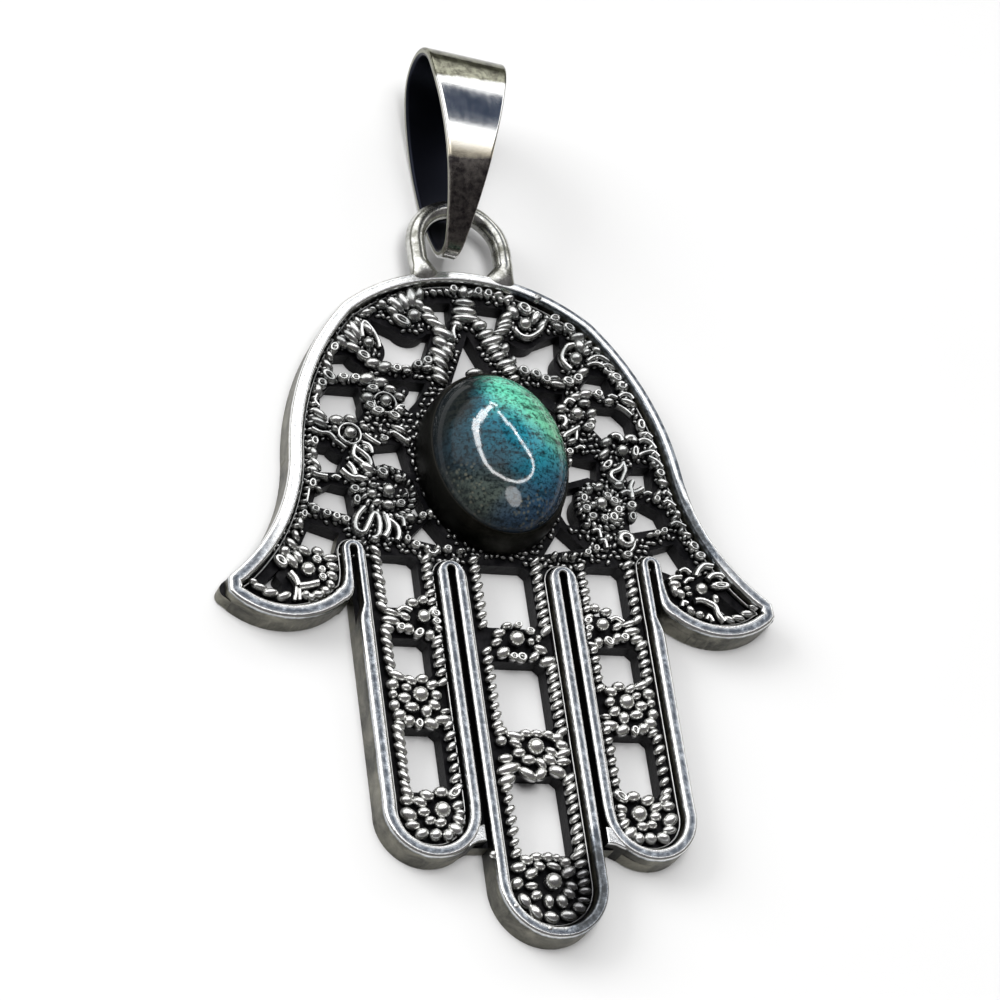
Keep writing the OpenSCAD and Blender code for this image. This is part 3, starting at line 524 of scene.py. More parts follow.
class Shader:
    """A thin layer over a material's node tree that keeps node code short."""

    def __init__(self, name: str) -> None:
        """Start a material with an empty tree and a principled shader.

        Args:
            name: Name of the material.
        """
        self.material = bpy.data.materials.new(name)
        self.material.use_nodes = True
        self.tree = self.material.node_tree
        self.tree.nodes.clear()
        out = self.tree.nodes.new("ShaderNodeOutputMaterial")
        self.bsdf = self.tree.nodes.new("ShaderNodeBsdfPrincipled")
        self.link(self.bsdf.outputs[0], out.inputs["Surface"])
        self.coords = self.tree.nodes.new("ShaderNodeTexCoord").outputs["Object"]

    def link(self, a: Socket, b: Socket) -> None:
        """Join two sockets."""
        self.tree.links.new(a, b)

    def set(self, **values: float) -> None:
        """Set the shader's own sockets."""
        for key, value in values.items():
            self.bsdf.inputs[key].default_value = value

    def feed(self, socket: str, source: Socket) -> None:
        """Drive one of the shader's sockets."""
        self.link(source, self.bsdf.inputs[socket])

    def node(self, kind: str, inputs: dict) -> bpy.types.Node:
        """Add a node and fill its inputs.

        Args:
            kind: The node's type.
            inputs: Input name or index to a socket, a number or a colour.

        Returns:
            The node.
        """
        node = self.tree.nodes.new(kind)
        if kind == "ShaderNodeMix":
            node.data_type = "RGBA"
        for key, value in inputs.items():
            if isinstance(value, bpy.types.NodeSocket):
                self.link(value, node.inputs[key])
            else:
                node.inputs[key].default_value = value
        return node

    def mapping(self, scale: tuple, turn: float) -> Socket:
        """Return object coordinates turned in degrees about Z and scaled."""
        return self.node("ShaderNodeMapping", {
            "Rotation": (0, 0, math.radians(turn)), "Scale": scale, "Vector": self.coords}).outputs[0]

    def noise(self, scale: float, detail: float = 4.0, rough: float = 0.55, vector: Socket | None = None,
              warp: float = 0.0) -> Socket:
        """Return a noise value.

        Args:
            scale: Cells per metre.
            detail: Number of finer layers.
            rough: Weight of the finer layers.
            vector: Coordinates, or None for the object's own.
            warp: How far the pattern is bent.

        Returns:
            The value's socket.
        """
        return self.node("ShaderNodeTexNoise", {
            "Scale": scale, "Detail": detail, "Roughness": rough, "Distortion": warp,
            "Vector": vector or self.coords}).outputs["Fac"]

    def cells(self, scale: float) -> Socket:
        """Return the distance to the nearest of a field of points."""
        return self.node("ShaderNodeTexVoronoi", {"Scale": scale, "Vector": self.coords}).outputs["Distance"]

    def ramp(self, source: Socket, stops: tuple) -> Socket:
        """Return a colour ramp.

        Args:
            source: The value that runs along the ramp.
            stops: Rows of place and colour.

        Returns:
            The colour's socket.
        """
        node = self.tree.nodes.new("ShaderNodeValToRGB")
        elements = node.color_ramp.elements
        while len(elements) < len(stops):
            elements.new(0.5)
        for element, (place, colour) in zip(elements, stops):
            element.position = place
            element.color = (*colour, 1.0)
        self.link(source, node.inputs[0])
        return node.outputs[0]

    def math(self, operation: str, a: Amount, b: Amount = 0.0) -> Socket:
        """Return a function of two values or sockets.

        Args:
            operation: The function.
            a: The first value.
            b: The second value.

        Returns:
            The result's socket.
        """
        node = self.node("ShaderNodeMath", {0: a, 1: b})
        node.operation = operation
        return node.outputs[0]

    def times(self, a: Amount, b: Amount) -> Socket:
        """Return a product."""
        return self.math("MULTIPLY", a, b)

    def plus(self, a: Amount, b: Amount) -> Socket:
        """Return a sum."""
        return self.math("ADD", a, b)

    def less(self, a: Amount, b: Amount) -> Socket:
        """Return a difference."""
        return self.math("SUBTRACT", a, b)

    def sway(self, noise: Socket, reach: float) -> Socket:
        """Return a noise value that swings evenly about nothing."""
        return self.times(self.less(noise, 0.5), reach)

    def spread(self, source: Socket, low: float, high: float, to_low: float = 0.0,
               to_high: float = 1.0) -> Socket:
        """Return a value moved from one range to another, and held inside it.

        Args:
            source: The value.
            low: Start of its range.
            high: End of its range.
            to_low: Start of the new range.
            to_high: End of the new range.

        Returns:
            The new value's socket.
        """
        return self.node("ShaderNodeMapRange", {
            "From Min": low, "From Max": high, "To Min": to_low, "To Max": to_high,
            "Value": source}).outputs["Result"]

    def mix(self, factor: Amount, a: Tint, b: Tint) -> Socket:
        """Return a mix of two colours."""
        a, b = [(*tint, 1.0) if isinstance(tint, tuple) else tint for tint in (a, b)]
        return self.node("ShaderNodeMix", {0: factor, 6: a, 7: b}).outputs[2]

    def axis(self, index: int) -> Socket:
        """Return one of the coordinates."""
        return self.node("ShaderNodeSeparateXYZ", {0: self.coords}).outputs[index]

    def zone(self, index: int, limits: tuple, to_low: float = 0.0, to_high: float = 1.0) -> Socket:
        """Return a value that changes between two places in mm along a coordinate."""
        return self.spread(self.axis(index), limits[0] * MM, limits[1] * MM, to_low, to_high)

    def attribute(self, name: str) -> Socket:
        """Return a value stored on the mesh.

        Args:
            name: Name of the attribute.

        Returns:
            The value's socket.
        """
        node = self.node("ShaderNodeAttribute", {})
        node.attribute_name = name
        return node.outputs["Fac"]

    def bump(self, height: Socket, depth: float, strength: float = 1.0, base: Socket | None = None) -> Socket:
        """Return a bent normal.

        Args:
            height: The height's socket.
            depth: Depth of the relief in metres.
            strength: Strength of the bend.
            base: A normal that is bent already.

        Returns:
            The normal's socket.
        """
        node = self.node("ShaderNodeBump", {"Strength": strength, "Distance": depth, "Height": height})
        if base is not None:
            self.link(base, node.inputs["Normal"])
        return node.outputs[0]


@dataclass(frozen=True)
class OxidisedSilver:
    """Cast silver, black in its depths and polished where it stands high.

    Attributes:
        name: Name of the material.
        dark_z: Height in mm below which it is black.
        bright_z: Height in mm above which it is polished.
        ragged: How far the patina's edge wanders, in mm.
        tone: Colour where it is polished best.
        rubbed: Colour where it is polished less.
        palm_tone: Colour that clouds the palm.
        palm_y: Places in mm between which the palm's clouds start.
        tip_tone: Colour of the darker side of the middle fingertip.
        tip_y: Places in mm between which that side starts, up the finger.
        tip_x: Places in mm between which it starts, across the finger.
        patina: The two colours of the black.
    """

    name: str
    dark_z: float
    bright_z: float
    ragged: float = 0.10
    tone: tuple = (0.93, 0.93, 0.91)
    rubbed: tuple = (0.72, 0.72, 0.71)
    palm_tone: tuple = (0.27, 0.28, 0.28)
    palm_y: tuple = (-6.5, -4.5)
    tip_tone: tuple = (0.10, 0.10, 0.11)
    tip_y: tuple = (-23.2, -21.5)
    tip_x: tuple = (-0.8, 1.2)
    patina: tuple = ((0.006, 0.006, 0.007), (0.035, 0.034, 0.036))

    def build(self) -> bpy.types.Material:
        """Build the material.

        Returns:
            The new material.
        """
        s = Shader(self.name)
        wander = s.noise(2600, 3, 0.6)
        height = s.plus(s.axis(2), s.sway(wander, 2 * self.ragged * MM))
        clean = s.spread(height, self.dark_z * MM, self.bright_z * MM)
        black = s.mix(s.noise(900, 5, 0.7), *self.patina)
        worn = s.mix(s.noise(1500, 4, 0.6), self.rubbed, self.tone)
        cloud = s.spread(s.noise(700, 3, 0.6), 0.40, 0.56, 1.0, 0.35)
        worn = s.mix(s.times(s.zone(1, self.palm_y, 0.0, 0.85), cloud), worn, self.palm_tone)
        tip = s.times(s.zone(1, self.tip_y, 0.85, 0.0), s.zone(0, self.tip_x))
        worn = s.mix(tip, worn, self.tip_tone)
        s.feed("Base Color", s.mix(clean, black, worn))
        s.feed("Roughness", s.plus(s.spread(clean, 0, 1, 0.5, 0.27), s.spread(wander, 0.3, 0.7, -0.05, 0.06)))
        s.set(Metallic=1.0)
        s.feed("Normal", s.bump(s.noise(3200, 4, 0.6), 0.00003, 0.35))
        return s.material


@dataclass(frozen=True)
class RimSilver:
    """The raised rim: two polished edges, a mottled middle, dull cast walls and painted shade over the right
    of the palm's rim.

    Attributes:
        name: Name of the material.
        wall_top: Height in mm up to which the walls are dull.
        wall_tone: How light the walls are.
        middle: The two colours between the edges.
        edge: The two colours of the polished edges.
        darkening: Colour where the rim is darkened: painted shade over the right of the palm's rim, and a
            darker colour on the right of the middle fingertip.
        wall: The two colours of the walls.
        beside_middle_dark: Darker colour of the walls beside the middle finger.
        beside_middle_dark_x: Distances in mm from the middle line between which the darker colour starts and
            ends.
        beside_middle_dark_y: Places in mm between which it starts, up the finger.
    """

    name: str = "rim_silver"
    wall_top: float = 1.5
    wall_tone: float = 1.0
    middle: tuple = ((0.10, 0.12, 0.15), (0.50, 0.54, 0.59))
    edge: tuple = ((0.55, 0.56, 0.56), (0.97, 0.97, 0.96))
    darkening: tuple = (0.090, 0.094, 0.096)
    wall: tuple = ((0.030, 0.030, 0.024), (0.26, 0.25, 0.205))
    beside_middle_dark: tuple = (0.020, 0.020, 0.018)
    beside_middle_dark_x: tuple = (2.4, 3.0, 4.6, 5.8)
    beside_middle_dark_y: tuple = (-23.2, -21.8)

    def build(self) -> bpy.types.Material:
        """Build the material.

        Returns:
            The new material.
        """
        s = Shader(self.name)
        polish = s.attribute("polish")
        mottle = s.noise(2300, 6, 0.72)
        fine = s.noise(5200, 3, 0.6)
        middle = s.mix(s.spread(mottle, 0.46, 0.64), *self.middle)
        edge = s.mix(s.spread(mottle, 0.30, 0.42), *self.edge)
        face = s.mix(polish, middle, edge)
        # Where the polish is below zero the face takes a darker colour: painted shade over the right of the
        # palm's rim, a darker colour on the right of the middle fingertip.
        dull = s.times(s.spread(polish, -0.6, 0.0, 1.0, 0.0), s.spread(mottle, 0.36, 0.62, 1.0, 0.55))
        face = s.mix(dull, face, self.darkening)
        dark, pale = [tuple(self.wall_tone * c for c in tint) for tint in self.wall]
        wall = s.mix(s.spread(s.noise(650, 7, 0.7, warp=0.6), 0.34, 0.68), dark, pale)
        wall = s.mix(s.spread(fine, 0.55, 0.75, 0, 0.35), wall, pale)
        # The walls beside the middle finger, from near its tip up, take a darker colour.
        beside = s.math("ABSOLUTE", s.axis(0))
        near, full, fading, clear = (x * MM for x in self.beside_middle_dark_x)
        beside_middle_share = s.times(s.spread(beside, near, full), s.spread(beside, fading, clear, 1.0, 0.0))
        wall = s.mix(s.times(beside_middle_share, s.zone(1, self.beside_middle_dark_y)), wall, self.beside_middle_dark)
        height = s.plus(s.axis(2), s.sway(mottle, 0.00016))
        top = s.spread(height, (self.wall_top - 0.04) * MM, (self.wall_top + 0.06) * MM)
        s.feed("Base Color", s.mix(top, wall, face))
        rough = s.less(0.27, s.times(polish, 0.09))
        s.feed("Roughness", s.plus(rough, s.times(s.less(1.0, top), 0.20)))
        s.set(Metallic=1.0)
        s.feed("Normal", s.bump(mottle, 0.00005, 0.4))
        return s.material


@dataclass(frozen=True)
class BlackGround:
    """The sunk ground and the walls of the openings, black with old patina.

    Attributes:
        name: Name of the material.
        black: The two colours of the black.
    """

    name: str = "black_ground"
    black: tuple = ((0.003, 0.003, 0.004), (0.030, 0.029, 0.031))

    def build(self) -> bpy.types.Material:
        """Build the material.

        Returns:
            The new material.
        """
        s = Shader(self.name)
        cloud = s.noise(800, 6, 0.7)
        s.feed("Base Color", s.mix(s.spread(cloud, 0.45, 0.75), *self.black))
        s.feed("Roughness", s.spread(cloud, 0.3, 0.7, 0.45, 0.65))
        s.set(Metallic=0.6, IOR=1.3)
        s.feed("Normal", s.bump(s.noise(2400, 5, 0.7), 0.00008, 0.6))
        return s.material


@dataclass(frozen=True)
class CastBack:
    """The plain back and the outer walls, dull and mottled from casting.

    Attributes:
        name: Name of the material.
        wall: The two colours of the walls.
        speck: Colour of their specks.
        back: The two colours of the back.
        back_z: Heights in mm between which the back turns into the walls.
    """

    name: str = "cast_back"
    wall: tuple = ((0.034, 0.034, 0.028), (0.27, 0.26, 0.215))
    speck: tuple = (0.17, 0.165, 0.145)
    back: tuple = ((0.30, 0.30, 0.29), (0.62, 0.62, 0.60))
    back_z: tuple = (0.04, 0.10)

    def build(self) -> bpy.types.Material:
        """Build the material.

        Returns:
            The new material.
        """
        s = Shader(self.name)
        cloud = s.noise(650, 7, 0.7, warp=0.6)
        fine = s.noise(5200, 3, 0.6)
        wall = s.mix(s.spread(cloud, 0.32, 0.66), *self.wall)
        wall = s.mix(s.spread(fine, 0.55, 0.75, 0, 0.35), wall, self.speck)
        back = s.mix(s.spread(cloud, 0.3, 0.7), *self.back)
        s.feed("Base Color", s.mix(s.zone(2, self.back_z), back, wall))
        s.feed("Roughness", s.spread(cloud, 0.3, 0.7, 0.34, 0.6))
        s.set(Metallic=1.0)
        s.feed("Normal", s.bump(cloud, 0.00008, 0.5))
        return s.material


@dataclass(frozen=True)
class WornSilver:
    """Thick wire of the loop, bright where it is rubbed and clouded grey elsewhere, with painted shade on its
    underside.

    Attributes:
        name: Name of the material.
        clouds: The two colours of its clouds.
        under: Colour of its underside, painted shade.
        under_z: Heights in mm between which the underside ends.
    """

    name: str = "loop_silver"
    clouds: tuple = ((0.20, 0.20, 0.17), (0.80, 0.80, 0.77))
    under: tuple = (0.10, 0.10, 0.085)
    under_z: tuple = (1.0, 1.8)

    def build(self) -> bpy.types.Material:
        """Build the material.

        Returns:
            The new material.
        """
        s = Shader(self.name)
        cloud = s.noise(1100, 5, 0.65)
        grey = s.mix(s.spread(cloud, 0.36, 0.62), *self.clouds)
        # Below the given heights the wire takes a darker colour: painted shade on its underside.
        s.feed("Base Color", s.mix(s.zone(2, self.under_z), self.under, grey))
        s.feed("Roughness", s.spread(cloud, 0.35, 0.65, 0.30, 0.16))
        s.set(Metallic=1.0)
        s.feed("Normal", s.bump(s.noise(2400, 4, 0.6), 0.00003, 0.35))
        return s.material


@dataclass(frozen=True)
class PolishedSilver:
    """Bright silver of the bail, with hairlines, a brown lower front that is patina together with a painted
    dark reflection, a top bend painted olive as a dark reflection, and a black inside.

    Attributes:
        name: Name of the material.
        darkening_y: Place in mm below which the front is brown: patina together with a painted dark
            reflection.
        bend_y: Place in mm above which the top bend is painted olive, a painted dark reflection.
        bright: The two colours of the polish.
        brown: The two colours of the brown lower front: patina together with a painted dark reflection.
        olive: The two colours of the top bend, a painted dark reflection.
        warm: Colour of the band above the brown.
        warm_y: Distances in mm above the brown between which that band fades.
        hairs: Hairlines per metre across, along and through, and their turn in degrees.
        edge: Colour of the strip's edges.
        inside: Colour of the strip's inside.
    """

    name: str = "polished_silver"
    darkening_y: float = 17.1
    bend_y: float = 21.95
    bright: tuple = ((0.78, 0.78, 0.77), (0.95, 0.95, 0.94))
    brown: tuple = ((0.055, 0.048, 0.050), (0.26, 0.24, 0.22))
    olive: tuple = ((0.070, 0.066, 0.050), (0.26, 0.26, 0.20))
    warm: tuple = (0.86, 0.78, 0.60)
    warm_y: tuple = (0.2, 1.3)
    hairs: tuple = ((5200, 420, 5200), 7)
    edge: tuple = (0.30, 0.30, 0.245)
    inside: tuple = (0.020, 0.022, 0.032)

    def build(self) -> bpy.types.Material:
        """Build the material.

        Returns:
            The new material.
        """
        s = Shader(self.name)
        hair = s.noise(1.0, 4, 0.6, s.mapping(*self.hairs))
        cloud = s.noise(900, 5, 0.65)
        clean = s.mix(s.spread(cloud, 0.3, 0.7), *self.bright)
        fleck = s.noise(2100, 5, 0.7)
        brown = s.mix(s.spread(fleck, 0.38, 0.66), *self.brown)
        height = s.plus(s.axis(1), s.sway(cloud, 0.0006))
        # Low on the front the strip turns brown and rougher: patina together with a painted dark reflection.
        kept = s.spread(height, (self.darkening_y - 0.12) * MM, (self.darkening_y + 0.12) * MM)
        front = s.spread(s.attribute("front"), 0.0, 0.02)
        dull = s.times(s.less(1.0, kept), front)
        low, high = ((self.darkening_y + y) * MM for y in self.warm_y)
        warm = s.spread(height, low, high, 0.9, 0.0)
        clean = s.mix(s.times(warm, front), clean, self.warm)
        outer = s.mix(dull, clean, brown)
        # The top bend is painted olive: a painted dark reflection.
        olive = s.mix(s.spread(fleck, 0.36, 0.60), *self.olive)
        outer = s.mix(s.spread(height, self.bend_y * MM, (self.bend_y + 0.25) * MM), outer, olive)
        outer = s.mix(s.spread(s.attribute("wall"), 0.4, 0.9), outer, self.edge)
        inner = s.spread(s.attribute("inner"), 0.5, 0.9)
        s.feed("Base Color", s.mix(inner, outer, self.inside))
        rough = s.plus(s.spread(cloud, 0.3, 0.7, 0.10, 0.17), s.spread(hair, 0.5, 0.8, 0.0, 0.05))
        rough = s.plus(rough, s.times(dull, 0.14))
        s.feed("Roughness", s.plus(rough, s.times(s.plus(inner, s.attribute("wall")), 0.25)))
        s.set(Metallic=1.0)
        s.feed("Normal", s.bump(fleck, 0.000010, 0.25, s.bump(hair, 0.000004, 0.2)))
        return s.material


@dataclass(frozen=True)
class FlashStone:
    """A dark blue-green feldspar whose sheets flash green, cyan and blue.

    Attributes:
        name: Name of the material.
        flash: Places and colours of the flash, from the lower left to the upper right.
        green: The two colours of the green at the top.
        low: Colour of the grey sheets at the bottom.
        side: Colour of the blue at the lower right.
        corner: Colour of the upper left.
        needles: Colour of the dark needles.
        needle_run: Needles per metre across, along and through, and their turn in degrees.
        grit: Colour of the dark grains.
        glints: Colour of the pale glints low down.
        rim: Colour towards the edge.
        rim_z: Heights in mm between which it fades.
        edge: Colour of the edge itself.
        edge_z: Heights in mm between which it ends.
    """

    name: str = "flash_stone"
    flash: tuple = (
        (0.00, (0.013, 0.017, 0.019)), (0.18, (0.013, 0.026, 0.035)), (0.30, (0.014, 0.044, 0.062)),
        (0.46, (0.010, 0.100, 0.145)), (0.62, (0.016, 0.185, 0.245)), (0.82, (0.046, 0.250, 0.270)),
        (1.00, (0.070, 0.240, 0.240)),
    )
    green: tuple = ((0.110, 0.480, 0.330), (0.150, 0.400, 0.240))
    low: tuple = (0.056, 0.070, 0.060)
    side: tuple = (0.024, 0.056, 0.110)
    corner: tuple = (0.010, 0.012, 0.011)
    needles: tuple = (0.003, 0.005, 0.007)
    needle_run: tuple = ((700, 3000, 1600), 38)
    grit: tuple = (0.002, 0.004, 0.005)
    glints: tuple = (0.13, 0.13, 0.10)
    rim: tuple = (0.007, 0.009, 0.011)
    rim_z: tuple = (3.0, 4.2)
    edge: tuple = (0.006, 0.007, 0.008)
    edge_z: tuple = (2.8, 3.1)

    def build(self) -> bpy.types.Material:
        """Build the material.

        Returns:
            The new material.
        """
        s = Shader(self.name)
        drift = s.noise(300, 5, 0.62)
        wobble = s.sway(drift, 0.0036)
        x, y = s.axis(0), s.axis(1)
        # each field of colour lies along its own slant of x and y, and wobbles with the drift
        across = s.plus(s.plus(s.times(x, 0.86), s.times(y, 0.51)), wobble)
        flash = s.ramp(s.spread(across, -0.0040, 0.0030), self.flash)
        top = s.plus(s.plus(s.times(y, 0.94), s.times(x, 0.34)), wobble)
        green = s.mix(s.spread(x, 0.0006, 0.0028), *self.green)
        lit = s.times(s.spread(top, 0.0002, 0.0016), s.spread(s.plus(x, wobble), -0.0018, -0.0002))
        body = s.mix(lit, flash, green)
        low = s.less(s.times(s.plus(y, wobble), -1.0), s.times(x, 0.35))
        body = s.mix(s.spread(low, 0.0024, 0.0040), body, self.low)
        side = s.less(s.times(x, 0.8), s.plus(y, wobble))
        body = s.mix(s.spread(side, 0.0026, 0.0048), body, self.side)
        corner = s.less(s.times(y, 0.75), s.plus(x, wobble))
        body = s.mix(s.spread(corner, 0.0030, 0.0042), body, self.corner)
        needles = s.noise(1.0, 3, 0.6, s.mapping(*self.needle_run))
        body = s.mix(s.spread(needles, 0.50, 0.66, 0, 0.7), body, self.needles)
        body = s.mix(s.spread(s.noise(5200, 4, 0.75), 0.47, 0.60, 0.0, 0.85), body, self.grit)
        glints = s.times(s.spread(s.cells(3600), 0.20, 0.40, 1.0, 0.0), s.spread(drift, 0.44, 0.52))
        body = s.mix(s.times(glints, s.spread(low, 0.0018, 0.0032, 0, 0.7)), body, self.glints)
        body = s.mix(s.zone(2, self.rim_z, 0.75, 0.0), body, self.rim)
        s.feed("Base Color", s.mix(s.zone(2, self.edge_z, 1.0, 0.0), body, self.edge))
        s.set(Roughness=0.08, IOR=1.26, Metallic=0.0)
        s.feed("Normal", s.bump(s.noise(2600, 3, 0.5), 0.000006, 0.3))
        return s.material


@dataclass(frozen=True)
class PaleSurface:
    """The plain pale floor.

    Attributes:
        name: Name of the material.
        greys: Its two colours.
    """

    name: str = "pale_surface"
    greys: tuple = ((0.575, 0.575, 0.575), (0.59, 0.59, 0.59))

    def build(self) -> bpy.types.Material:
        """Build the material.

        Returns:
            The new material.
        """
        s = Shader(self.name)
        s.feed("Base Color", s.mix(s.noise(60, 2, 0.5), *self.greys))
        s.set(Roughness=0.75, Metallic=0.0)
        return s.material


class SkyShader(Shader):
    """The same layer over the world's node tree."""

    def __init__(self, name: str) -> None:
        """Start a world whose coordinates are directions.

        Args:
            name: Name of the world.
        """
        self.world = bpy.data.worlds.new(name)
        self.world.use_nodes = True
        self.tree = self.world.node_tree
        self.coords = self.tree.nodes.new("ShaderNodeTexCoord").outputs["Generated"]

    def towards(self, way: tuple) -> Socket:
        """Return how far the direction of the sky lies towards another.

        Args:
            way: The other direction.

        Returns:
            The cosine's socket.
        """
        node = self.node("ShaderNodeVectorMath", {0: self.coords, 1: Vector(way).normalized()})
        node.operation = "DOT_PRODUCT"
        return node.outputs["Value"]


@dataclass(frozen=True)
class Sky:
    """A plain tent of light: bright behind the pendant, dim over the camera.

    Attributes:
        bright_way: Direction of the bright wall.
        disc_way: Direction of the dim patch that shows in the bail.
        bright: Light of the bright wall.
        disc: Light of the patch.
        dim: Light from above.
        horizon: Light from low down.
        dim_from: Rise between which the light from above takes over.
        wall_edge: Nearness between which the bright wall starts.
        wall_foot: Rise between which it starts.
        disc_edge: Nearness between which the dim patch starts.
    """

    bright_way: tuple = (-0.15, 0.90, 0.40)
    disc_way: tuple = (0.387, 0.510, 0.768)
    bright: tuple = (1.9, 1.9, 1.9)
    disc: tuple = (0.040, 0.056, 0.095)
    dim: tuple = (0.130, 0.124, 0.128)
    horizon: tuple = (0.20, 0.20, 0.17)
    dim_from: tuple = (0.30, 0.42)
    wall_edge: tuple = (0.38, 0.50)
    wall_foot: tuple = (0.33, 0.42)
    disc_edge: tuple = (0.971, 0.981)

    def build(self) -> None:
        """Make the sky and give it to the scene."""
        s = SkyShader("sky")
        z = s.axis(2)
        base = s.mix(s.spread(z, *self.dim_from), self.horizon, self.dim)
        lit = s.times(s.spread(s.towards(self.bright_way), *self.wall_edge), s.spread(z, *self.wall_foot))
        base = s.mix(lit, base, self.bright)
        base = s.mix(s.spread(s.towards(self.disc_way), *self.disc_edge), base, self.disc)
        s.link(base, s.tree.nodes["Background"].inputs[0])
        bpy.context.scene.world = s.world


# --------------------------------------------------------- geometry nodes


def lines_object(name: str, lines: list[list[Point]], z: float, thick: list[float] | None = None) -> Piece:
    """Make one mesh of edge chains at a height.

    Args:
        name: Name of the object.
        lines: The chains.
        z: Height in mm.
        thick: Radius of each chain's wire in mm.

    Returns:
        The object, with thick stored on its points where it is given.
    """
    verts, edges, radii = [], [], []
    for n, points in enumerate(lines):
        start = len(verts)
        verts += [(x, y, z) for x, y in points]
        edges += [(start + i, start + i + 1) for i in range(len(points) - 1)]
        radii += [thick[n] * MM if thick else 0.0] * len(points)
    obj = mesh_object(name, verts, [], edges)
    if thick:
        store(obj, "thick", radii)
    return obj


def points_object(name: str, spots: list[tuple], z: float, sizes: list[tuple]) -> Piece:
    """Make one mesh of loose points for a tree that sets something on each.

    Args:
        name: Name of the object.
        spots: Rows of x, y and turn, in mm and degrees.
        z: Height in mm.
        sizes: Half the length, width and height of each, in mm.

    Returns:
        The object, with turn and size stored on its points.
    """
    obj = mesh_object(name, [(x, y, z) for x, y, _ in spots], [])
    store(obj, "turn", [math.radians(turn) for _, _, turn in spots])
    store(obj, "size", [tuple(c * MM for c in size) for size in sizes])
    return obj


class NodeRecipe:
    """A geometry node tree with named inputs, built in code."""

    def __init__(self, name: str, inputs: dict[str, float]) -> None:
        """Start a tree that takes and gives geometry.

        Args:
            name: Name of the tree.
            inputs: Default of each named input; the material comes after them.
        """
        self.tree = bpy.data.node_groups.new(name, "GeometryNodeTree")
        self.tree.is_modifier = True
        self.ids: dict[str, str] = {}
        face = self.tree.interface
        face.new_socket("Geometry", in_out="INPUT", socket_type="NodeSocketGeometry")
        face.new_socket("Geometry", in_out="OUTPUT", socket_type="NodeSocketGeometry")
        for key, default in inputs.items():
            socket = face.new_socket(key, in_out="INPUT", socket_type=SOCKET_KINDS[type(default)])
            socket.default_value = default
            self.ids[key] = socket.identifier
        material = face.new_socket("Material", in_out="INPUT", socket_type="NodeSocketMaterial")
        self.ids["Material"] = material.identifier
        self.source = self.tree.nodes.new("NodeGroupInput")
        self.sink = self.tree.nodes.new("NodeGroupOutput")

    def given(self, name: str) -> Socket:
        """Return a named input's socket."""
        return self.source.outputs[name]

    def node(self, kind: str, links: dict, **props: str) -> bpy.types.Node:
        """Add a node, set its properties and fill its inputs.

        Args:
            kind: The node's type.
            links: Input name or index to a socket or a constant.
            props: Properties of the node.

        Returns:
            The node.
        """
        node = self.tree.nodes.new(kind)
        for key, value in props.items():
            setattr(node, key, value)
        for key, value in links.items():
            if isinstance(value, bpy.types.NodeSocket):
                self.tree.links.new(value, node.inputs[key])
            else:
                node.inputs[key].default_value = value
        return node

    def out(self, kind: str, links: dict, **props: str) -> Socket:
        """Add a node and return its first output."""
        return self.node(kind, links, **props).outputs[0]

    def math(self, operation: str, a: Amount, b: Amount) -> Socket:
        """Return a function of two values or sockets."""
        return self.out("ShaderNodeMath", {0: a, 1: b}, operation=operation)

    def chance(self, low: Amount, high: Amount, seed: Socket) -> Socket:
        """Return a random value for each point."""
        return self.node("FunctionNodeRandomValue", {2: low, 3: high, "Seed": seed}).outputs[1]

    def turned(self, angle: Socket) -> Socket:
        """Return a turn about Z."""
        return self.out("FunctionNodeEulerToRotation", {0: self.out("ShaderNodeCombineXYZ", {"Z": angle})})

    def stored(self, name: str, kind: str) -> Socket:
        """Return a value stored on the points."""
        return self.out("GeometryNodeInputNamedAttribute", {"Name": name}, data_type=kind)

    def place(self, points: Socket, shape: Socket, turn: Socket, size: Socket) -> None:
        """Set a shape on each point and close the tree."""
        self.finish(self.out("GeometryNodeInstanceOnPoints", {
            "Points": points, "Instance": shape, "Rotation": turn, "Scale": size}))

    def finish(self, geometry: Socket) -> None:
        """Realize the instances, set the material and close the tree.

        Args:
            geometry: What the tree has made.
        """
        real = self.out("GeometryNodeRealizeInstances", {"Geometry": geometry})
        smooth = self.out("GeometryNodeSetShadeSmooth", {"Geometry": real})
        material = self.given("Material")
        dressed = self.out("GeometryNodeSetMaterial", {"Geometry": smooth, "Material": material})
        self.tree.links.new(dressed, self.sink.inputs[0])

    def apply(self, obj: Piece, values: dict[str, object]) -> Piece:
        """Run the tree on an object and turn the result into a plain mesh.

        Args:
            obj: The object that carries the tree's points or lines.
            values: Input name to value.

        Returns:
            A new plain mesh object of the same name; the carrier is removed.
        """
        name = obj.name
        mod = obj.modifiers.new("recipe", "NODES")
        mod.node_group = self.tree
        for key, value in values.items():
            mod[self.ids[key]] = value
        graph = bpy.context.evaluated_depsgraph_get()
        mesh = bpy.data.meshes.new_from_object(obj.evaluated_get(graph), depsgraph=graph)
        obj.modifiers.remove(mod)
        bpy.data.objects.remove(obj)
        mesh.name = name
        return linked(name, mesh)


@dataclass(frozen=True)
class Twist:
    """The beads of a twisted border.

    Attributes:
        pitch: Distance from bead to bead, in mm.
        half: Half of a bead along, across and up, in mm.
        lean: Lean of the beads in degrees.
        uneven: How much lean and size change from bead to bead.
        seed: Seed of that change.
    """

    pitch: float
    half: tuple[float, float, float]
    lean: float
    uneven: float
    seed: int


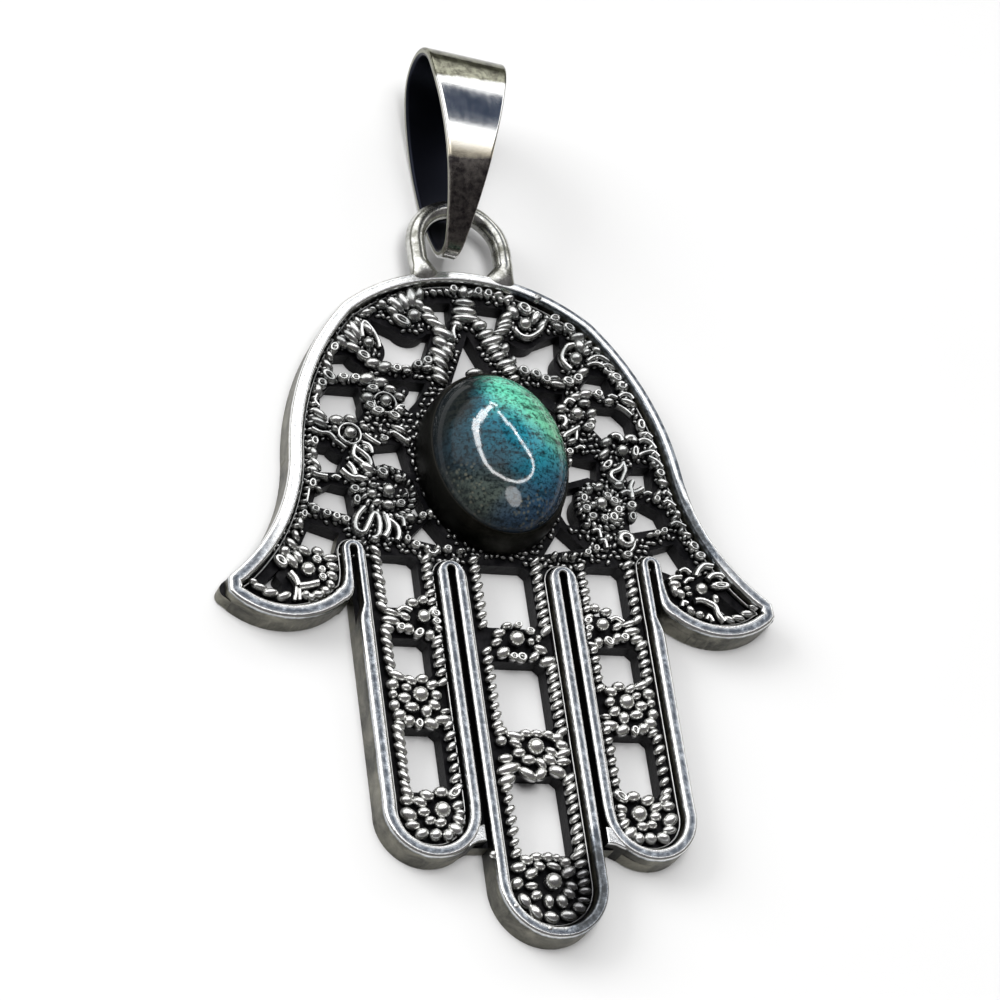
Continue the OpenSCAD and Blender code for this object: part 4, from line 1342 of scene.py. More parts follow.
class BeadRow(NodeRecipe):
    """Leaning beads set at an even pitch along lines, as in a twisted border."""

    def __init__(self) -> None:
        """Build the tree."""
        super().__init__("bead_row", {
            "Pitch": 0.0005, "Half Along": 0.00017, "Half Across": 0.00027, "Half Height": 0.0003,
            "Lean": 0.4, "Unevenness": 0.12, "Seed": 1})
        uneven, seed = self.given("Unevenness"), self.given("Seed")
        curve = self.out("GeometryNodeMeshToCurve", {"Mesh": self.given("Geometry")})
        points = self.node("GeometryNodeCurveToPoints", {"Curve": curve, "Length": self.given("Pitch")},
                           mode="LENGTH")
        bead = self.out("GeometryNodeMeshIcoSphere", {"Radius": 1.0, "Subdivisions": 2})
        aim = self.out("FunctionNodeAlignRotationToVector", {"Vector": points.outputs["Tangent"]},
                       axis="X", pivot_axis="Z")
        swing = self.math("MULTIPLY", self.chance(-1.0, 1.0, seed), uneven)
        lean = self.turned(self.math("ADD", self.given("Lean"), swing))
        spin = self.out("FunctionNodeRotateRotation", {0: aim, 1: lean}, rotation_space="LOCAL")
        low, high = self.math("SUBTRACT", 1.0, uneven), self.math("ADD", 1.0, uneven)
        grow = self.chance(low, high, self.math("ADD", seed, 11.0))
        size = self.out("ShaderNodeCombineXYZ", {
            "X": self.given("Half Along"), "Y": self.given("Half Across"), "Z": self.given("Half Height")})
        scale = self.out("ShaderNodeVectorMath", {0: size, "Scale": grow}, operation="SCALE")
        self.place(points.outputs["Points"], bead, spin, scale)

    def lay(self, obj: Piece, twist: Twist, silver: bpy.types.Material) -> Piece:
        """Lay a twisted border along the lines of an object.

        Args:
            obj: The lines.
            twist: The border's beads.
            silver: Its material.

        Returns:
            The border.
        """
        along, across, up = (half * MM for half in twist.half)
        return self.apply(obj, {
            "Pitch": twist.pitch * MM, "Half Along": along, "Half Across": across, "Half Height": up,
            "Lean": math.radians(twist.lean), "Unevenness": twist.uneven, "Seed": twist.seed,
            "Material": silver})


class Granules(NodeRecipe):
    """Raised leaves and beads, or small rings, one on each point.

    Each point carries size, half its length, width and height, and turn.
    """

    def __init__(self) -> None:
        """Build the tree."""
        super().__init__("granules", {"Hollow": False, "Wire Share": 0.26, "Detail": 2})
        share = self.given("Wire Share")
        bead = self.out("GeometryNodeMeshIcoSphere", {"Radius": 1.0, "Subdivisions": self.given("Detail")})
        middle = self.math("SUBTRACT", 1.0, share)
        circle = self.out("GeometryNodeCurvePrimitiveCircle", {"Resolution": 12, "Radius": middle})
        section = self.out("GeometryNodeCurvePrimitiveCircle", {"Resolution": 6, "Radius": share})
        ring = self.out("GeometryNodeCurveToMesh", {"Curve": circle, "Profile Curve": section})
        shape = self.out("GeometryNodeSwitch", {"Switch": self.given("Hollow"), "False": bead, "True": ring},
                         input_type="GEOMETRY")
        turn = self.turned(self.stored("turn", "FLOAT"))
        self.place(self.given("Geometry"), shape, turn, self.stored("size", "FLOAT_VECTOR"))

    def beads(self, obj: Piece, detail: int, silver: bpy.types.Material) -> Piece:
        """Set a bead on each point of an object."""
        return self.apply(obj, {"Hollow": False, "Detail": detail, "Material": silver})

    def rings(self, obj: Piece, share: float, silver: bpy.types.Material) -> Piece:
        """Set a ring on each point of an object, its wire a share of its radius."""
        return self.apply(obj, {"Hollow": True, "Wire Share": share, "Material": silver})


class BentWire(NodeRecipe):
    """Upright oval wire laid along lines, sunk in the ground below it.

    Each point of a line carries thick, the wire's radius there.
    """

    def __init__(self) -> None:
        """Build the tree."""
        super().__init__("bent_wire", {"Tallness": 2.5, "Middle": 0.0012, "Step": 0.00014})
        curve = self.out("GeometryNodeMeshToCurve", {"Mesh": self.given("Geometry")})
        eased = self.out("GeometryNodeCurveSplineType", {"Curve": curve}, spline_type="CATMULL_ROM")
        fine = self.out("GeometryNodeResampleCurve", {"Curve": eased, "Length": self.given("Step")},
                        mode="LENGTH")
        section = self.out("GeometryNodeCurvePrimitiveCircle", {"Resolution": 8, "Radius": 1.0})
        wire = self.out("GeometryNodeCurveToMesh", {
            "Curve": fine, "Scale": self.stored("thick", "FLOAT"), "Profile Curve": section,
            "Fill Caps": True})
        lift = self.out("ShaderNodeCombineXYZ", {"Z": self.given("Middle")})
        scale = self.out("ShaderNodeCombineXYZ", {"X": 1.0, "Y": 1.0, "Z": self.given("Tallness")})
        placed = {"Geometry": wire, "Translation": lift, "Scale": scale}
        self.finish(self.out("GeometryNodeTransform", placed))

    def lay(self, obj: Piece, tall: float, middle: float, step: float, silver: bpy.types.Material) -> Piece:
        """Lay wire along the lines of an object.

        Args:
            obj: The lines.
            tall: Height of the wire as a share of its width.
            middle: Height of its middle in mm.
            step: Distance between its sections in mm.
            silver: Its material.

        Returns:
            The wire.
        """
        return self.apply(obj, {
            "Tallness": tall, "Middle": middle * MM, "Step": step * MM, "Material": silver})


# ------------------------------------------------------------- the camera


@dataclass
class Studio:
    """The camera at the photograph's angle, plain lights and a pale floor.

    Attributes:
        azimuth: Direction of the camera round the pendant, in degrees from +X.
        elevation: Height of the camera, in degrees.
        roll: Turn of the picture, in degrees.
        distance: Distance of the camera from its target, in mm.
        target: Point that the camera looks at, in mm.
        focal_px: Focal length in pixels of the picture.
        picture_px: Width of the picture in pixels.
        sensor: Width of the sensor in mm.
        clip: Nearest and furthest distance that the camera sees, in metres.
        floor_half: Half the floor's side in mm.
        floor_z: Height of the floor in mm.
        boxes: Soft boxes: name, azimuth, elevation, size in mm and glow.
        box_far: Distance of the soft boxes in mm.
        ring: Oval ring lamp: azimuth and elevation of each length, and its width in mm.
        ring_centre: Point that the ring lamp is measured from, in mm.
        ring_far: Distance of the ring lamp and the spot in mm.
        ring_glow: Glow of the ring lamp.
        overlap: Length of each part of the ring over the gap that it fills.
        spot: Azimuth, elevation, size in mm and glow of the spot.
        sheen: Azimuth, elevation, size in mm and glow of the lamp over the ornament.
        sheen_far: Distance of that lamp in mm.
    """

    azimuth: float = 230.3435
    elevation: float = 53.4665
    roll: float = -37.3223
    distance: float = 159.141
    target: tuple = (0.144, -2.166, 1.7)
    focal_px: float = 3000.0
    picture_px: float = 1000.0
    sensor: float = 36.0
    clip: tuple = (0.005, 10.0)
    floor_half: float = 900.0
    floor_z: float = -0.004
    boxes: tuple = (("key", 150, 27, (380, 300), 8.4), ("overhead", 230, 86, (280, 280), 12.2))
    box_far: float = 620.0
    ring: tuple = (
        (87, 40, 8), (80, 35, 5), (70, 46, 5), (56, 50, 5), (44, 52, 5), (29, 51, 5), (19, 49, 5),
        (8, 49, 5), (357, 53, 5), (343, 62, 5), (324, 73, 5), (265, 83, 6), (183, 78, 7), (149, 69, 10),
        (127, 58, 15), (114, 49, 18), (99, 45, 17),
    )
    ring_centre: tuple = (0, 0, 4.6)
    ring_far: float = 120.0
    ring_glow: float = 50.0
    overlap: float = 1.04
    spot: tuple = (299, 58, (44, 58), 12.0)
    sheen: tuple = (52, 60, (330, 330), 2.1)
    sheen_far: float = 600.0

    @staticmethod
    def direction(az: float, el: float) -> Vector:
        """Return the unit vector towards an azimuth and elevation in degrees."""
        a, e = math.radians(az), math.radians(el)
        return Vector((math.cos(e) * math.cos(a), math.cos(e) * math.sin(a), math.sin(e)))

    def camera(self) -> None:
        """Create the camera and make it the scene's."""
        roll = math.radians(self.roll)
        back = self.direction(self.azimuth, self.elevation)
        side = Vector((0, 0, 1)).cross(back).normalized()
        over = back.cross(side)
        right = side * math.cos(roll) - over * math.sin(roll)
        up = side * math.sin(roll) + over * math.cos(roll)
        data = bpy.data.cameras.new("camera")
        data.sensor_width = self.sensor
        data.lens = self.sensor * self.focal_px / self.picture_px
        data.clip_start, data.clip_end = self.clip
        cam = linked("camera", data)
        place = (Vector(self.target) + back * self.distance) * MM
        cam.matrix_world = Matrix.Translation(place) @ Matrix((right, up, back)).transposed().to_4x4()
        bpy.context.scene.camera = cam

    def floor(self) -> None:
        """Lay the floor just under the pendant's back."""
        half, z = self.floor_half, self.floor_z
        corners = [(-half, -half, z), (half, -half, z), (half, half, z), (-half, half, z)]
        obj = mesh_object("floor", corners, [(0, 1, 2, 3)])
        obj.data.materials.append(PaleSurface().build())

    def panel(self, name: str, place: Vector, size: tuple, glow: float, along: Vector | None = None,
              shape: str = "RECTANGLE") -> bpy.types.Object:
        """Hang a lit panel that faces the pendant.

        Args:
            name: Name of the light.
            place: Middle of the panel in mm.
            size: Length and width in mm.
            glow: Radiance of its face.
            along: Direction of its length.
            shape: Shape of the light.

        Returns:
            The light's object, which the camera doesn't see.
        """
        back = place.normalized()
        along = along or Vector((0, 0, 1)).cross(back)
        along = (along - back * along.dot(back)).normalized()
        data = bpy.data.lights.new(name, "AREA")
        data.shape = shape
        data.size, data.size_y = size[0] * MM, size[1] * MM
        data.energy = glow * math.pi * data.size * data.size_y
        obj = linked(name, data)
        turn = Matrix((along, back.cross(along), back)).transposed().to_4x4()
        obj.matrix_world = Matrix.Translation(place * MM) @ turn
        obj.visible_camera = False
        return obj

    @staticmethod
    def show_in(name: str, pieces: list[Piece], lamps: list[bpy.types.Object]) -> None:
        """Let lamps show in the gloss of some pieces and nowhere else.

        Args:
            name: Name of the group of pieces.
            pieces: The pieces.
            lamps: The lamps.
        """
        group = bpy.data.collections.new(name)
        for piece in pieces:
            group.objects.link(piece)
        for lamp in lamps:
            lamp.visible_diffuse = False
            lamp.light_linking.receiver_collection = group

    def soft_boxes(self) -> None:
        """Hang the soft boxes that light the floor and cast the shadow."""
        for name, az, el, size, glow in self.boxes:
            self.panel(name, self.direction(az, el) * self.box_far, size, glow).visible_glossy = False

    def ring_lamp(self, stone: Piece) -> None:
        """Hang an oval ring lamp and a small spot that show in the stone alone.

        Args:
            stone: The stone.
        """
        centre = Vector(self.ring_centre)
        spots = [self.direction(az, el) * self.ring_far + centre for az, el, _ in self.ring]
        lamps = []
        for i, spot in enumerate(spots):
            ahead, behind = spots[(i + 1) % len(spots)], spots[i - 1]
            size = ((ahead - behind).length / 2 * self.overlap, self.ring[i][2])
            lamps.append(self.panel(f"ring_{i}", spot, size, self.ring_glow, ahead - behind))
        az, el, size, glow = self.spot
        place = self.direction(az, el) * self.ring_far
        lamps.append(self.panel("spot", place, size, glow, shape="ELLIPSE"))
        self.show_in("stone_gloss", [stone], lamps)

    def relief_lamp(self, pieces: list[Piece]) -> None:
        """Hang a wide soft lamp over the ornament that shows in its bead tops alone.

        Args:
            pieces: The ornament.
        """
        az, el, size, glow = self.sheen
        lamp = self.panel("relief_sheen", self.direction(az, el) * self.sheen_far, size, glow)
        self.show_in("relief_gloss", pieces, [lamp])

    def build(self) -> None:
        """Make the camera, the floor, the sky and the soft boxes."""
        bpy.context.scene.view_settings.view_transform = "Standard"
        self.camera()
        self.floor()
        Sky().build()
        self.soft_boxes()


# --------------------------------------------------------------- the hand


@dataclass
class HandPlan:
    """The hand's sizes in mm and the lines that its parts follow.

    The sizes have the names that they have in the part's source. The last five
    are the picture's own.

    Attributes:
        head_w: Width of a hairpin's rib at its head.
        low_y: Place where the outer finger's rim starts to narrow.
        turn_out: How far out the rim bends into the thumb, with its place and width.
        thumb_from: Angle in degrees where the rim joins the thumb's underside.
        rim_in: How far the rim's middle lies inside the outline, under the thumb and above it.
    """

    thumb_span: float = 31.4
    palm_w: float = 22.8
    dome_h: float = 12.25
    dome_r: float = 11.45
    side_r: float = 16.0
    side_y: float = -1.05
    flare_y: float = 1.0
    thumb_drop: float = 7.85
    thumb_r: float = 4.6
    thumb_low: float = 9.7
    tip_r: float = 0.5
    finger_span: float = 17.2
    mid_w: float = 6.0
    mid_l: float = 26.7
    out_l: float = 22.55
    ground_h: float = 0.95
    rim_w: float = 0.7
    rib_w: float = 0.6
    groove_w: float = 0.35
    short_leg: float = 0.4
    pin_top: float = -5.9
    short_top: float = -5.0
    head_w: float = 0.32
    low_y: float = -9.7
    turn_out: tuple = ((0.02, -7.0, 0.44), (0.06, -7.4, 0.53), (0.13, -7.75, 0.66), (0.27, -8.02, 0.80),
                       (0.50, -8.22, 0.86))
    thumb_from: float = 230.0
    rim_in: tuple = (0.38, 0.37)

    def __post_init__(self) -> None:
        """Work out the arcs of the outline as the part's source does."""
        self.tip_x = self.thumb_span / 2 + 0.4 * self.tip_r
        self.side_x = self.palm_w / 2 - self.side_r
        e, f = self.flare_y + self.thumb_drop, self.flare_y - self.side_y
        m = (self.tip_x - self.side_x) / self.side_r
        n = (self.side_x**2 - self.tip_x**2 + f**2 - e**2 - self.side_r**2) / (2 * self.side_r)
        s, q, c = self.tip_x + m * n, 1 - m**2, self.tip_x**2 + e**2 - n**2
        self.flare_x = (s - math.sqrt(s**2 - q * c)) / q
        self.flare_r = m * self.flare_x + n
        self.thumb_y = self.thumb_r - self.thumb_low
        self.thumb_x = self.tip_x - math.sqrt(self.thumb_r**2 - (self.thumb_drop + self.thumb_y) ** 2)
        self.mid_r = self.mid_w / 2
        self.finger_x = self.finger_span / 2
        self.out_in = self.mid_r + self.groove_w
        self.out_r = (self.finger_x - self.out_in) / 2
        self.mid_y = self.mid_r - self.mid_l
        self.out_y = self.out_r - self.out_l
        self.pin_x = self.mid_r + self.groove_w / 2
        self.pin_y = self.pin_top - self.groove_w / 2 - self.rib_w
        self.short_r = self.groove_w / 2 + self.short_leg
        self.short_x = self.finger_x - self.rim_w + self.short_r
        self.short_y = self.short_top - self.short_r

    @staticmethod
    def angle(centre: tuple, place: Point) -> float:
        """Return the angle in degrees at which a place lies from a centre."""
        return math.degrees(math.atan2(place[1] - centre[1], place[0] - centre[0]))

    @staticmethod
    def meet(a: tuple, b: tuple, upper: bool) -> Point:
        """Return where two circles cross.

        Args:
            a: Middle and radius of one circle.
            b: Middle and radius of the other.
            upper: Whether the upper crossing is wanted, or else the lower.

        Returns:
            The crossing.
        """
        dx, dy = b[0] - a[0], b[1] - a[1]
        d = math.hypot(dx, dy)
        along = (d * d + a[2] ** 2 - b[2] ** 2) / (2 * d)
        h = math.sqrt(max(0.0, a[2] ** 2 - along**2))
        mx, my = a[0] + along * dx / d, a[1] + along * dy / d
        ends = [(mx - h * dy / d, my + h * dx / d), (mx + h * dy / d, my - h * dx / d)]
        low, high = sorted(ends, key=lambda p: p[1])
        return high if upper else low

    def thumb_corner(self, inset: float) -> Point:
        """Return the corner of the thumb at a distance inside the outline."""
        flare = (self.flare_x, self.flare_y, self.flare_r + inset)
        return self.meet(flare, (self.thumb_x, self.thumb_y, self.thumb_r - inset), False)

    def dome(self, inset: float) -> list[Point]:
        """Return the right side of the border from the thumb's corner to the top.

        Args:
            inset: Distance from the outline.

        Returns:
            Points up the flare, the side and the dome to the middle line.
        """
        flare, side = (self.flare_x, self.flare_y), (self.side_x, self.side_y)
        dome = (0.0, self.dome_h - self.dome_r)
        side_r, dome_r = self.side_r - inset, self.dome_r - inset
        kiss = self.angle(side, flare)
        start = self.angle(flare, self.thumb_corner(inset)) % 360
        top = self.meet((*side, side_r), (*dome, dome_r), True)
        rising = arc(*flare, self.flare_r + inset, start, 180 + kiss)
        rising += arc(*side, side_r, kiss, self.angle(side, top))[1:]
        return rising + arc(*dome, dome_r, self.angle(dome, top), 90)[1:]

    def underside(self, inset: float, start: float) -> list[Point]:
        """Return the right thumb's underside from an angle out to its tip."""
        end = self.angle((self.thumb_x, self.thumb_y), self.thumb_corner(inset)) % 360
        return arc(self.thumb_x, self.thumb_y, self.thumb_r - inset, start, end)

    def cap(self, cx: float, cy: float, w: float) -> list[Station]:
        """Return the round head of a hairpin, thinner at its top.

        Args:
            cx: Middle of the head in x.
            cy: Middle of the head in y.
            w: Width of the rib that bends round the groove.

        Returns:
            Places along the rib with its width.
        """
        out = []
        for i in range(1, 16):
            a = math.pi * (1 - i / 16)
            k = math.sin(a) ** 2
            r = self.groove_w / 2 + w / 2 + k * (w - self.head_w) * 0.5
            out.append((cx + r * math.cos(a), cy + r * math.sin(a), lerp(w, self.head_w, k)))
        return out

    def rim_line(self) -> list[Station]:
        """Return the rim's middle line.

        Returns:
            Places with the rim's width, once round the hand.
        """
        rib, rim, leg, gap = self.rib_w, self.rim_w, self.short_leg, self.groove_w
        mid, side = self.mid_r - rib / 2, self.out_in + rib / 2
        run = with_width(arc(0, self.mid_y, mid, -90, 0), 0.62, rib)
        run += with_width(line((mid, self.mid_y + 0.3), (mid, self.pin_y)), rib, rib)
        run += self.cap(self.pin_x, self.pin_y, rib)
        run += with_width(line((side, self.pin_y), (side, self.out_y + 0.3)), rib, rib)
        tip = arc(self.out_in + self.out_r, self.out_y, self.out_r - rim / 2 + 0.02, 180, 360)
        run += with_width(tip, rib, rim)
        outer, low = self.finger_x - rim / 2, self.low_y
        run += with_width(line((outer, self.out_y + 0.3), (outer, low)), rim, rim)
        inner = self.finger_x - rim + leg / 2
        run += with_width(line((outer - 0.02, low + 0.3), (inner, low + 1.0), 0.2), rim - 0.05, leg)
        run += with_width(line((inner, low + 1.2), (inner, self.short_y)), leg, leg)
        run += self.cap(self.short_x, self.short_y, leg)
        outer = self.short_x + gap / 2 + leg / 2
        run += with_width(line((outer, self.short_y), (outer, -6.6)), leg, leg)
        run += [(outer + out, y, w) for out, y, w in self.turn_out]
        run += with_width(self.underside(self.rim_in[0], self.thumb_from)[:-2], 0.74, 0.76)
        run += with_width(self.dome(self.rim_in[1])[2:], 0.76, rim)
        return run[1:] + [(-x, y, w) for x, y, w in reversed(run)][1:-1]


@dataclass
class CastHand:
    """The hand in one casting: ground, rim, borders, rosettes, bezel and loop.

    Attributes:
        plan: Sizes of the hand.
        node: The solid that its pieces stand for.
        bead_z: Height of the ornament's middle in mm.
        rope_up: Half the height of the beads along the fingers, in mm.
        leaf_swell: How much of its width a leaf gains in length, width and height.
        leaf_least: Half the least width and height of a leaf, in mm.
        wire_half: Half the height of the small rings' wire, in mm.
        ring_share: Radius of that wire as a share of the ring's.
        ring_swell: Size of a small ring over its size in the table.
        wire_swell: Radius of a bent wire over its radius in the table.
        wire_tall: Height of a bent wire as a share of its width.
        wire_step: Distance between its sections in mm.
        ridge: Ridge in the groove: distance inside the rim, radius, share of height and middle.
        ridge_step: Distance between its sections in mm.
        border_in: Distance of the palm's border inside the rim, in mm.
        border_low: Lowest place of that border in mm.
        grain_z: Height of the stray grains' middle in mm.
        ball_z: Height of the balls' middle in mm.
        fine_twist: Border inside the rim of the palm.
        rosette_twist: Ring round each large rosette.
        low_apart: Distance from low bead to low bead, in mm.
        low_clear: Distance of the low beads from the openings, in mm.
        low_from: Place where the low beads start, in mm.
        low_top: Place where they end, in mm.
        low_half: Half the length, width and height of a low bead, in mm.
        rim_profile: Rim: share of its width, height in mm and polish.
        bezel_profile: Bezel: distance from the seat and height, in mm.
        foot_rings: Feet: share of their plan, and height in mm.
        seat: Half the width and length of the bezel's seat, in mm.
        loop_r: Radius of the loop's bow in mm.
        loop_y: Middle of the bow, and the lowest place of its feet, in mm.
        loop_wire: Half the width and height of its wire, in mm.
        loop_z: Height of its middle in mm.
        relief: Pieces that the lamp over the ornament shows in.
    """

    plan: HandPlan = field(default_factory=HandPlan)
    node: str = "hamsa_hand"
    bead_z: float = 1.22
    rope_up: float = 0.31
    leaf_swell: tuple = (0.50, 0.70, 0.24)
    leaf_least: tuple = (0.04, 0.29)
    wire_half: float = 0.34
    ring_share: float = 0.36
    ring_swell: float = 1.12
    wire_swell: float = 1.45
    wire_tall: float = 1.9
    wire_step: float = 0.14
    ridge: tuple = (0.16, 0.055, 4.5, 1.05)
    ridge_step: float = 0.3
    border_in: float = 0.46
    border_low: float = -6.2
    grain_z: float = 1.55
    ball_z: float = 1.38
    fine_twist: Twist = Twist(0.40, (0.14, 0.24, 0.27), 32, 0.2, 9)
    rosette_twist: Twist = Twist(0.36, (0.13, 0.25, 0.29), 34, 0.15, 5)
    low_apart: float = 0.36
    low_clear: float = 0.23
    low_from: float = -5.6
    low_top: float = 12.5
    low_half: tuple = (0.20, 0.125, 0.20)
    rim_profile: tuple = (
        (-0.5, 0.35, 0.0), (-0.5, 1.46, 0.0), (-0.48, 1.57, 0.3), (-0.44, 1.635, 0.9), (-0.38, 1.675, 1.0),
        (-0.31, 1.695, 1.0), (-0.24, 1.70, 0.8), (-0.17, 1.692, 0.2), (0.0, 1.685, 0.0), (0.17, 1.692, 0.2),
        (0.24, 1.70, 0.8), (0.31, 1.695, 1.0), (0.38, 1.675, 1.0), (0.44, 1.635, 0.9), (0.48, 1.57, 0.3),
        (0.505, 1.46, 0.0), (0.505, 0.03, 0.0),
    )
    bezel_profile: tuple = (
        (0.10, 0.60), (0.10, 1.30), (0.09, 1.90), (0.05, 2.25), (-0.02, 2.56), (-0.10, 2.80), (-0.15, 2.90),
        (-0.20, 2.94), (-0.26, 2.93), (-0.29, 2.88), (-0.24, 2.70), (-0.12, 2.30), (-0.06, 1.90),
        (-0.03, 1.30), (-0.03, 0.60),
    )
    foot_rings: tuple = ((1.0, 0.03), (1.0, 1.5), (0.93, 1.62), (0.8, 1.66))
    seat: tuple = (4.05, 5.05)
    loop_r: float = 2.55
    loop_y: tuple = (13.75, 11.35)
    loop_wire: tuple = (0.55, 0.545)
    loop_z: float = 1.52
    relief: list = field(default_factory=list)

    def cast(self, obj: Piece) -> None:
        """Hand over a piece of the hand."""
        hand_over(obj, Body.HAND, Finish.OXIDISED, self.node)

    def ornament(self, obj: Piece) -> None:
        """Hand over a piece of ornament, and keep it for its lamp."""
        self.cast(obj)
        self.relief.append(obj)

    def ground(self) -> None:
        """Raise the plain back of the solid model to the sunk ground."""
        bm = bmesh.new()
        bm.from_mesh(frame["nodes"][self.node].data)
        bmesh.ops.remove_doubles(bm, verts=bm.verts, dist=1e-7)
        bm.normal_update()
        spare = [f for f in bm.faces if f.normal.z >= -0.9 or f.calc_center_median().z >= 0.00003]
        bmesh.ops.delete(bm, geom=spare, context="FACES")
        for f in bm.faces:
            f.normal_flip()
        made = bmesh.ops.extrude_face_region(bm, geom=list(bm.faces))
        verts = [v for v in made["geom"] if isinstance(v, bmesh.types.BMVert)]
        bmesh.ops.translate(bm, verts=verts, vec=(0, 0, self.plan.ground_h * MM))
        bmesh.ops.recalc_face_normals(bm, faces=bm.faces)
        mesh = bpy.data.meshes.new("ground")
        bm.to_mesh(mesh)
        bm.free()
        mesh.materials.append(CastBack().build())
        mesh.materials.append(BlackGround().build())
        outline = self.plan.rim_line()
        for f in mesh.polygons:
            f.use_smooth = False
            wall = abs(f.normal.z) < 0.5 and not self.on_outline(f.center, outline)
            f.material_index = 1 if f.normal.z > 0.5 or wall else 0
        self.cast(linked("ground", mesh))

    @staticmethod
    def on_outline(place: Vector, outline: list[Station]) -> bool:
        """Tell whether a wall lies on the outline and not in an opening."""
        x, y = place.x / MM, place.y / MM
        return any((px - x) ** 2 + (py - y) ** 2 < 0.80 for px, py, _ in outline)

    @staticmethod
    def palm_share(x: float, y: float) -> float:
        """Return how far a place on the rim belongs to the domed border of the palm."""
        return held((y + 7.0) / 3.0) if abs(x) > 9.0 or y > 0 else 0.0

    @staticmethod
    def rim_darkening(x: float, y: float, s: float, palm: float) -> float:
        """Return how far a place across the rim is darkened: painted shade over the right of the palm's rim,
        where that side of the rim turns from the light, and a darker colour on the right of the middle
        fingertip.

        Args:
            x: Place of the rim across the hand, in mm.
            y: Place of the rim along the hand, in mm.
            s: Place across the rim, from -0.5 inside to 0.5 outside.
            palm: How far the place belongs to the palm.

        Returns:
            A share, 0 where the rim is not darkened.
        """
        # On the right of the palm: painted shade over the rim, all but one bright line that moves outwards
        # lower down.
        if x > 1.5 and palm > 0:
            down = held((0.5 - y) / 3.0)
            off = held((abs(s - lerp(-0.12, 0.32, down)) - 0.14) / 0.10)
            side = 0.75 if s > 0 and down < 0.5 else 1.0
            return off * side * palm * min(1.0, (x - 1.5) / 3.0) * (1.0 - held((x - 12.2) / 1.2))
        # On the right of the middle fingertip the rim is darker.
        low = held((-20.5 - y) / 1.5) * held((x - 0.2) / 0.8)
        return low if abs(x) < 4.0 and s < 0.2 else 0.35 * low * (abs(x) < 4.0)

    def rim(self) -> None:
        """Sweep the rim with its two polished edges along its middle line."""
        run = self.plan.rim_line()
        verts, polish = [], []
        for i, (x, y, w) in enumerate(run):
            t = heading(run[i - 1], run[(i + 1) % len(run)])
            palm = self.palm_share(x, y)
            for s, z, p in self.rim_profile:
                if z > 1.4:
                    z += palm * (0.03 - 0.12 * s - 0.05 * s * s)
                    # Lower the polish where the rim is darkened; below zero it stands for painted shade on
                    # the right of the palm's rim, and for a darker colour on the middle fingertip.
                    p = lerp(max(p, 0.85 * palm), -0.6, self.rim_darkening(x, y, s, palm))
                verts.append((x + t.y * s * w, y - t.x * s * w, z))
                polish.append(p)
        obj = mesh_object("rim", verts, grid_faces(len(run), len(self.rim_profile), True))
        store(obj, "polish", polish)
        tidy_mesh(obj)
        obj.data.materials.append(RimSilver().build())
        self.cast(obj)

    def inside_rim(self, step: float) -> list[Point]:
        """Return the line that runs inside the rim.

        Args:
            step: Distance from the rim's inner edge, in mm.

        Returns:
            Points once round the hand.
        """
        run = self.plan.rim_line()
        points = []
        for i, (x, y, w) in enumerate(run):
            t = heading(run[i - 1], run[(i + 1) % len(run)])
            points.append((x - t.y * (w / 2 + step), y + t.x * (w / 2 + step)))
        return points

    def ropes(self, silver: bpy.types.Material) -> None:
        """Lay the twisted borders along the fingers, between the rosettes.

        Args:
            silver: Material of the ornament.
        """
        row = BeadRow()
        parts = []
        for x, stops, along, across, pitch, lean in FINGER_ROPES:
            runs = [line((x, top), (x, low)) for top, low in stops]
            twist = Twist(pitch, (along, across, self.rope_up), lean, 0.12, len(parts) + 3)
            parts.append(row.lay(lines_object("rope", runs, self.bead_z), twist, silver))
        self.ornament(joined("finger_ropes", parts))

    def leaves(self, silver: bpy.types.Material) -> None:
        """Set the leaves and beads of the rosettes and borders on the ground.

        Args:
            silver: Material of the ornament.
        """
        rows = [*CROWN_LEAVES, *TOP_LEAVES, *SHELL_LEAVES, *SIDE_LEAVES, *STONE_LEAVES, *THUMB_LEAVES,
                *MIDDLE_LEAVES, *OUTER_LEAVES, *((-a, b, -c, d, w) for a, b, c, d, w in OUTER_LEAVES)]
        (long, wide, high), (least_wide, least_high) = self.leaf_swell, self.leaf_least
        spots, sizes = [], []
        for x0, y0, x1, y1, w in rows:
            spots.append(((x0 + x1) / 2, (y0 + y1) / 2, math.degrees(math.atan2(y1 - y0, x1 - x0))))
            half = math.dist((x0, y0), (x1, y1)) / 2 + long * w
            sizes.append((half, wide * w + least_wide, least_high + high * w))
        self.ornament(Granules().beads(points_object("leaves", spots, self.bead_z, sizes), 2, silver))

    def rings(self, silver: bpy.types.Material) -> None:
        """Set the small rings of the border and the rosettes on the ground.

        Args:
            silver: Material of the ornament.
        """
        rows = [*PALM_RINGS, *FINGER_RINGS, *OUTER_RINGS,
                *((-x, y, a, b, -t) for x, y, a, b, t in OUTER_RINGS)]
        spots = [(x, y, t) for x, y, _, _, t in rows]
        swell, up = self.ring_swell, self.wire_half / self.ring_share
        sizes = [(swell * a, swell * b, up) for _, _, a, b, _ in rows]
        obj = points_object("rings", spots, self.bead_z, sizes)
        self.ornament(Granules().rings(obj, self.ring_share, silver))

    def wires(self, silver: bpy.types.Material) -> None:
        """Lay the bent wires and the wires round the rosettes.

        Args:
            silver: Material of the ornament.
        """
        rows = [*PALM_WIRES, *FINGER_WIRES, *((r, mirrored(run)) for r, run in FINGER_WIRES)]
        rows += [(wire, arc(x, y, r, 0, 360, 0.3)) for x, y, r, wire in RING_WIRES]
        obj = lines_object("wires", [run for _, run in rows], 0.0, [self.wire_swell * r for r, _ in rows])
        self.ornament(BentWire().lay(obj, self.wire_tall, self.bead_z, self.wire_step, silver))

